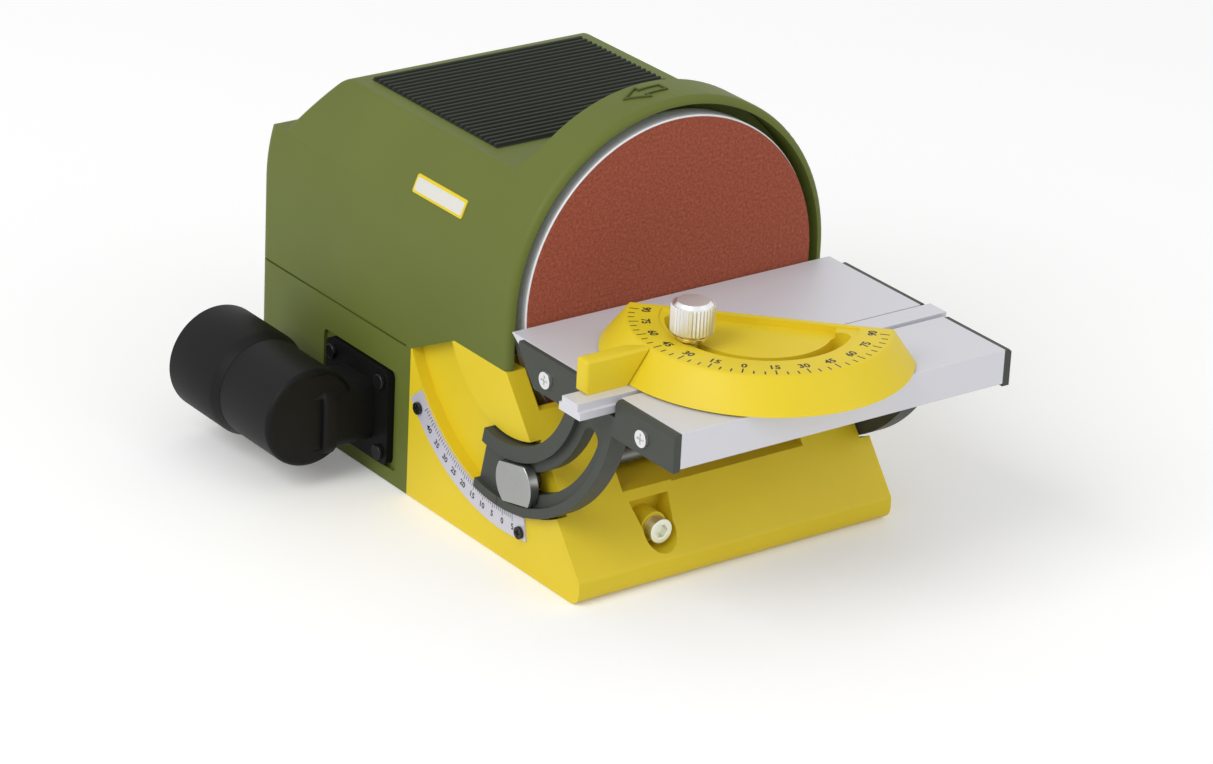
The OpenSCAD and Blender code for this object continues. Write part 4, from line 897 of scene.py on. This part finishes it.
@dataclass
class Base(SubAssembly):
    """The yellow base with its tilt scale and fasteners."""

    face_x: float = -70.3
    foot_y: float = -46.9
    foot_z: float = 8.9
    foot_round: float = 0.8
    foot_length: float = 30.0
    scale: ScalePrint = ScalePrint(first=-5, last=45, step=1, figure_step=5, start_r=67.8, way=1.0,
                                   figure_r=72.6, long_line=2.6, short_line=1.7, line_width=0.24,
                                   figure_height=2.3, figure_weight=0.03, bare=(45,))

    def build(self) -> None:
        """Dresses the base and prints the tilt scale."""
        foot = EdgeRound(self.on_foot, self.foot_round, least_angle=30.0, least_length=self.foot_length)
        self.shop.soften("front_base", Finishes.YELLOW, 0.0, rounds=[foot])
        self.shop.soften("angle_scale", Finishes.STRIP, 0.0)
        self.shop.soften("scale_screws", Finishes.DARK_STEEL, 0.15, 2)
        self.shop.soften("base_tie_bolt", Finishes.PALE_ZINC, 0.3, 2)
        self.shop.dress("tie_bolt_nut", Finishes.STEEL)
        print_shape = self.scale.draw(self.spot)
        self.shop.keep("tilt_scale_print", print_shape, Finishes.INK, Body.MACHINE, "black_plastic")

    def on_foot(self, spot: Vector) -> bool:
        """Tells whether a corner, in millimetres, belongs to the front edge of the foot, above the bench."""
        return spot.y < self.foot_y and spot.z > self.foot_z

    def spot(self, radius: float, angle: float) -> Matrix:
        """A place on the strip, at a radius in millimetres and degrees past straight down."""
        return tilt_spot(self.face_x - PRINT_LIFT, radius, angle)


@dataclass
class TiltTable(SubAssembly):
    """The table with its brackets, screws, tilt index and clamp."""

    face_x: float = -73.0
    rod_x: float = -69.0
    index_r: float = 64.0
    index_size: Triple = (0.7, 3.6, 0.08)

    def build(self) -> None:
        """Dresses the table and adds the index line."""
        self.shop.soften("table_deck", Finishes.TABLE, 0.25, 2)
        self.shop.soften("left_bracket", Finishes.BRACKET, 0.5, 3)
        self.shop.soften("right_bracket", Finishes.BRACKET, 0.5, 3)
        self.shop.soften("bracket_screws", Finishes.CHROME, 0.35, 2)
        # The cross rod takes a darker steel that is partly painted shade.
        self.shade_rod(self.shop.soften("clamp_bolt", Finishes.CLAMP, 0.5, 3))
        self.shop.soften("clamp_knob", Finishes.BLACK, 1.0, 3)
        self.shop.dress("clamp_knob_insert", Finishes.BRASS)
        self.index_line()

    def shade_rod(self, bolt: Piece) -> None:
        """Gives the cross rod behind the clamp's head a duller, darker steel, which is partly painted shade
        for where it lies under the table.

        Args:
            bolt: the finished clamp bolt.
        """
        bolt.data.materials.append(Finishes.ROD.material())
        for face in bolt.data.polygons:
            if face.center.x > self.rod_x * MM:
                face.material_index = 1

    def index_line(self) -> None:
        """Adds the dark line on the quadrant's rim that reads the tilt scale."""
        shape = bmesh.new()
        add_block(shape, self.index_size, tilt_spot(self.face_x, self.index_r, 0.0))
        self.shop.keep("tilt_index", shape, Finishes.INK, Body.TABLE, "black_plastic")


@dataclass
class MitreGauge(SubAssembly):
    """The sliding gauge with its printed protractor."""

    pivot: Span = (-8.0, -60.0)
    face_z: float = 99.5
    setting: float = 45.0
    edge_r: float = 45.0
    edge_band: float = 0.2
    rim_round: float = 0.9
    block_x: float = -80.4
    block_round: float = 1.4
    collar_top: float = 102.6
    floor_z: float = 96.97
    pin_head: float = 1.0
    scale: ScalePrint = ScalePrint(first=-90, last=90, step=5, figure_step=15, start_r=edge_r, way=-1.0,
                                   figure_r=39.2, long_line=3.4, short_line=2.3, line_width=0.5,
                                   figure_height=3.0, figure_weight=0.035)

    def build(self) -> None:
        """Dresses the gauge and prints its scale."""
        block = EdgeRound(self.on_block, self.block_round, segments=5, least_angle=50.0)
        rim = EdgeRound(self.on_rim, self.rim_round, least_angle=35.0)
        self.shop.soften("slide_bar", Finishes.TABLE, 0.15, 2)
        self.shop.soften("pointer_block", Finishes.YELLOW, 0.0, join=8.0, rounds=[block])
        self.shop.soften("protractor", Finishes.YELLOW, 0.0, rounds=[rim])
        self.plate_collar(self.shop.soften("gauge_knob", Finishes.CHROME, 0.12, 2))
        self.shop.soften("clamp_stud", Finishes.STEEL, 0.2, 2)
        self.raise_pin(self.shop.soften("pivot_pin", Finishes.YELLOW, 0.0))
        print_shape = self.scale.draw(self.spot)
        self.shop.keep("gauge_scale_print", print_shape, Finishes.INK, Body.GAUGE_HEAD, "black_plastic")

    def on_block(self, spot: Vector) -> bool:
        """Tells whether a corner belongs to the pointer block's free edges, off the protractor and bar."""
        return spot.z > self.face_z or spot.x < self.block_x

    def on_rim(self, spot: Vector) -> bool:
        """Tells whether a corner, in millimetres, belongs to the outer edge of the protractor's face."""
        turned = Vector((spot.x - self.pivot[0], spot.y - self.pivot[1]))
        return spot.z > self.face_z - NEAR and turned.length > self.edge_r - self.edge_band

    def raise_pin(self, pin: Piece) -> None:
        """Brings the pivot pin's top flush with the protractor's sunken floor, as a riveted pin is.

        Args:
            pin: the finished pin.
        """
        top = max(vert.co.z for vert in pin.data.vertices)
        for vert in pin.data.vertices:
            if vert.co.z > top - self.pin_head * MM:
                vert.co.z += self.floor_z * MM - top

    def plate_collar(self, knob: Piece) -> None:
        """Gives the collar under the knurled grip its own plating.

        Args:
            knob: the finished knob.
        """
        knob.data.materials.append(Finishes.YELLOW_ZINC.material())
        for face in knob.data.polygons:
            if face.center.z < self.collar_top * MM:
                face.material_index = 1

    def spot(self, radius: float, angle: float) -> Matrix:
        """A place on the protractor's face: Y points to the pivot.

        Args:
            radius: distance from the pivot in millimetres.
            angle: degrees from the zero mark, to the right seen from the scale's outside.

        Returns:
            The place as a matrix in metres.
        """
        a = math.radians(180.0 + self.setting + angle)
        out = Vector((math.cos(a), math.sin(a), 0.0))
        along = Vector((-math.sin(a), math.cos(a), 0.0))
        place = Vector((self.pivot[0], self.pivot[1], self.face_z + PRINT_LIFT)) + out * radius
        return frame_of(place, along, -out)


@dataclass
class DustPort(SubAssembly):
    """The black elbow on the left."""

    end_y: float = 81.0
    axis_x: float = -97.5
    collar: float = 5.0
    collar_round: float = 1.6
    neck_shift: float = 4.3

    def build(self) -> None:
        """Dresses the elbow, its sleeve and its screws."""
        edge = EdgeRound(self.on_collar, self.collar_round)
        self.set_neck(self.shop.soften("dust_elbow", Finishes.BLACK, 0.0, rounds=[edge]))
        self.shop.soften("dust_sleeve", Finishes.BLACK, 0.5, 3)
        self.shop.soften("dust_screws", Finishes.DARK_STEEL, 0.4, 2)

    def on_collar(self, spot: Vector) -> bool:
        """Tells whether a corner belongs to the collar's outer edge, in front of the barrel's closed end."""
        return spot.y < self.end_y + TOUCH and abs(spot.x - self.axis_x) < NEAR

    def set_neck(self, elbow: Piece) -> None:
        """Moves the neck's collar towards the wall where it stands in front of the barrel's closed end.

        Args:
            elbow: the finished elbow.
        """
        half = self.collar / 2
        for vert in elbow.data.vertices:
            spot = vert.co / MM
            if spot.y < self.end_y + TOUCH and abs(spot.x - self.axis_x - half) < half + NEAR:
                vert.co.x += self.neck_shift * MM


@dataclass
class Drive(SubAssembly):
    """The disc and the motor."""

    inner: dict[str, Finish] = field(default_factory=lambda: {
        "front_shield": Finishes.CAST, "rear_shield": Finishes.CAST, "motor_can": Finishes.SHEET_STEEL,
        "field_magnets": Finishes.FERRITE, "front_bearing": Finishes.STEEL, "rear_bearing": Finishes.STEEL,
        "brush_holders": Finishes.BRASS, "carbon_brushes": Finishes.CARBON, "brush_springs": Finishes.STEEL,
        "motor_screws": Finishes.STEEL, "armature_shaft": Finishes.STEEL,
        "armature_core": Finishes.LAMINATION, "windings": Finishes.COPPER, "commutator": Finishes.COPPER,
        "cooling_fan": Finishes.BLACK, "disc_hub": Finishes.DARK_STEEL,
        "hub_set_screw": Finishes.DARK_STEEL, "disc_screws": Finishes.DARK_STEEL,
    })

    def build(self) -> None:
        """Dresses the disc, its sheet and the motor's pieces."""
        self.shop.soften("sanding_disc", Finishes.DISC, 0.0)
        self.shop.soften("abrasive_sheet", Finishes.ABRASIVE, 0.0)
        for node, finish in self.inner.items():
            self.shop.dress(node, finish)


@dataclass
class Controls(SubAssembly):
    """The switch, the speed dial and the board behind them."""

    face_x: float = 69.5
    dial_y: float = 128.0
    dial_z: float = 74.0
    first_angle: float = 225.0
    figures: int = 6
    figure_angle: float = 54.0
    figure_r: float = 14.2
    figure_height: float = 2.6
    figure_lift: float = 0.03
    mark_r: float = 6.0
    mark_lift: float = 8.5
    mark_size: Triple = (5.0, 0.7, 0.06)

    def build(self) -> None:
        """Dresses the controls and prints the dial's figures and mark."""
        self.shop.soften("switch_body", Finishes.BLACK, 0.3, 2)
        self.shop.soften("switch_rocker", Finishes.RED, 0.3, 3)
        self.shop.soften("speed_dial", Finishes.BLACK, 0.35, 2)
        for node, finish in (("potentiometer", Finishes.SHEET_STEEL), ("circuit_board", Finishes.BOARD),
                             ("heat_sink", Finishes.CAST), ("capacitor", Finishes.SLEEVE_BLUE),
                             ("board_screws", Finishes.STEEL)):
            self.shop.dress(node, finish)
        self.dial_figures()
        self.dial_mark()

    def on_dial(self, lift: float, radius: float, angle: float) -> Triple:
        """A place off the wall and round the dial, in millimetres and in radians from the rear upwards."""
        y, z = self.dial_y + radius * math.cos(angle), self.dial_z + radius * math.sin(angle)
        return (self.face_x + lift, y, z)

    def dial_figures(self) -> None:
        """Prints the figures on the wall round the dial."""
        shape = bmesh.new()
        for i in range(self.figures):
            angle = math.radians(self.first_angle - i * self.figure_angle)
            place = self.on_dial(self.figure_lift, self.figure_r, angle)
            add_text(shape, str(i + 1), self.figure_height, frame_of(place, (0.0, 1.0, 0.0), (0.0, 0.0, 1.0)))
        self.shop.keep("dial_figures", shape, Finishes.WHITE_INK, Body.MACHINE, "black_plastic")

    def dial_mark(self) -> None:
        """Prints the line on the dial, which points to the first figure."""
        angle = math.radians(self.first_angle)
        out = (0.0, math.cos(angle), math.sin(angle))
        across = (0.0, -math.sin(angle), math.cos(angle))
        place = self.on_dial(self.mark_lift, self.mark_r, angle)
        shape = bmesh.new()
        add_block(shape, self.mark_size, frame_of(place, out, across))
        self.shop.keep("dial_mark", shape, Finishes.WHITE_INK, Body.DIAL, "black_plastic")


# Studio


@dataclass(frozen=True)
class Lamp:
    """A soft square lamp: its place and side in metres and its power in watts."""

    name: str
    place: Triple
    side: float
    power: float

    def hang(self, aim: Triple) -> None:
        """Adds the lamp.

        Args:
            aim: the point that it faces, in metres.
        """
        data = bpy.data.lights.new(self.name, "AREA")
        data.shape = "SQUARE"
        data.size = self.side
        data.energy = self.power
        holder = bpy.data.objects.new(self.name, data)
        holder.location = self.place
        holder.rotation_mode = "QUATERNION"
        holder.rotation_quaternion = (Vector(aim) - Vector(self.place)).to_track_quat("-Z", "Y")
        bpy.context.scene.collection.objects.link(holder)


@dataclass
class Studio:
    """The camera, the soft light and the pale floor."""

    eye: Triple = (-0.924, -1.184, 0.711)
    azimuth: float = -37.16
    elevation: float = 23.73
    roll: float = 2.92
    lens: float = 136.43
    sensor: float = 36.0
    clip: float = 0.05
    lamps: tuple[Lamp, ...] = (
        Lamp("key", (-2.1, -0.35, 1.9), 1.6, 36.0),
        Lamp("fill", (1.2, -2.2, 1.4), 1.8, 10.0),
    )
    aim: Triple = (0.0, 0.03, 0.07)
    world_light: float = 0.62
    floor_half: float = 6.0
    floor_drop: float = 0.0002
    floor_white: float = 0.93
    floor_glow: float = 0.16

    def build(self) -> None:
        """Makes the camera, the lamps, the world and the floor."""
        self.camera()
        for lamp in self.lamps:
            lamp.hang(self.aim)
        self.world()
        self.floor()
        bpy.context.scene.view_settings.view_transform = "Standard"

    def camera(self) -> None:
        """Places the camera at the photograph's eye point."""
        data = bpy.data.cameras.new("camera")
        data.lens = self.lens
        data.sensor_width = self.sensor
        data.clip_start = self.clip
        holder = bpy.data.objects.new("camera", data)
        bpy.context.scene.collection.objects.link(holder)
        a, e, r = (math.radians(v) for v in (self.azimuth, self.elevation, self.roll))
        back = Vector((math.sin(a) * math.cos(e), -math.cos(a) * math.cos(e), math.sin(e)))
        right = (-back).cross(Vector((0.0, 0.0, 1.0))).normalized()
        up = right.cross(-back)
        x_dir = right * math.cos(r) + up * math.sin(r)
        y_dir = up * math.cos(r) - right * math.sin(r)
        turned = Matrix((x_dir, y_dir, back)).transposed().to_4x4()
        turned.translation = Vector(self.eye)
        holder.matrix_world = turned
        bpy.context.scene.camera = holder

    @staticmethod
    def seen(tree: Tree) -> Socket:
        """Adds the nodes that tell rays of sight and of reflections from those that light rough surfaces.

        Args:
            tree: the node tree of the world or of the floor.

        Returns:
            The output socket that is 1 for the former and 0 for the latter.
        """
        path = add_node(tree, "ShaderNodeLightPath")
        found = path.outputs["Is Camera Ray"]
        for ray in ("Is Glossy Ray", "Is Transmission Ray"):
            either = add_math(tree, "MAXIMUM")
            tree.links.new(found, either.inputs[0])
            tree.links.new(path.outputs[ray], either.inputs[1])
            found = either.outputs["Value"]
        return found

    def world(self) -> None:
        """Sets a plain white world, brighter to the camera and to reflections than to rough surfaces."""
        world = bpy.data.worlds.new("studio")
        world.use_nodes = True
        tree = world.node_tree
        shine = tree.nodes["Background"]
        shine.inputs["Color"].default_value = WHITE
        level = add_node(tree, "ShaderNodeMapRange", {"To Min": self.world_light, "To Max": 1.0})
        tree.links.new(self.seen(tree), level.inputs["Value"])
        tree.links.new(level.outputs["Result"], shine.inputs["Strength"])
        bpy.context.scene.world = world

    def floor(self) -> None:
        """Lays the pale floor, which isn't part of the machine."""
        shape = bmesh.new()
        bmesh.ops.create_grid(shape, x_segments=1, y_segments=1, size=self.floor_half)
        mesh = bpy.data.meshes.new("floor")
        shape.to_mesh(mesh)
        shape.free()
        floor = bpy.data.objects.new("floor", mesh)
        floor.location = (0.0, 0.0, -self.floor_drop)
        bpy.context.scene.collection.objects.link(floor)
        pale = bpy.data.materials.new("studio_floor")
        pale.use_nodes = True
        tree = pale.node_tree
        shader = tree.nodes[SHADER]
        set_inputs(shader, {"Base Color": (self.floor_white, self.floor_white, self.floor_white, 1.0),
                            "Roughness": 0.9, "Specular IOR Level": 0.0, "Emission Color": WHITE})
        glow = add_math(tree, "MULTIPLY", {1: self.floor_glow})
        tree.links.new(self.seen(tree), glow.inputs[0])
        tree.links.new(glow.outputs["Value"], shader.inputs["Emission Strength"])
        mesh.materials.append(pale)


def main() -> None:
    """Builds the looks in order."""
    logging.basicConfig(level=logging.INFO, format="%(message)s")
    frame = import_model()
    shop = Workshop(frame)
    Studio().build()
    for kind in (Housing, Base, TiltTable, MitreGauge, DustPort, Drive, Controls):
        kind(shop).build()
    bpy.context.view_layer.update()
    LOG.info("%d pieces", len(shop.made))


if __name__ == "__main__":
    main()
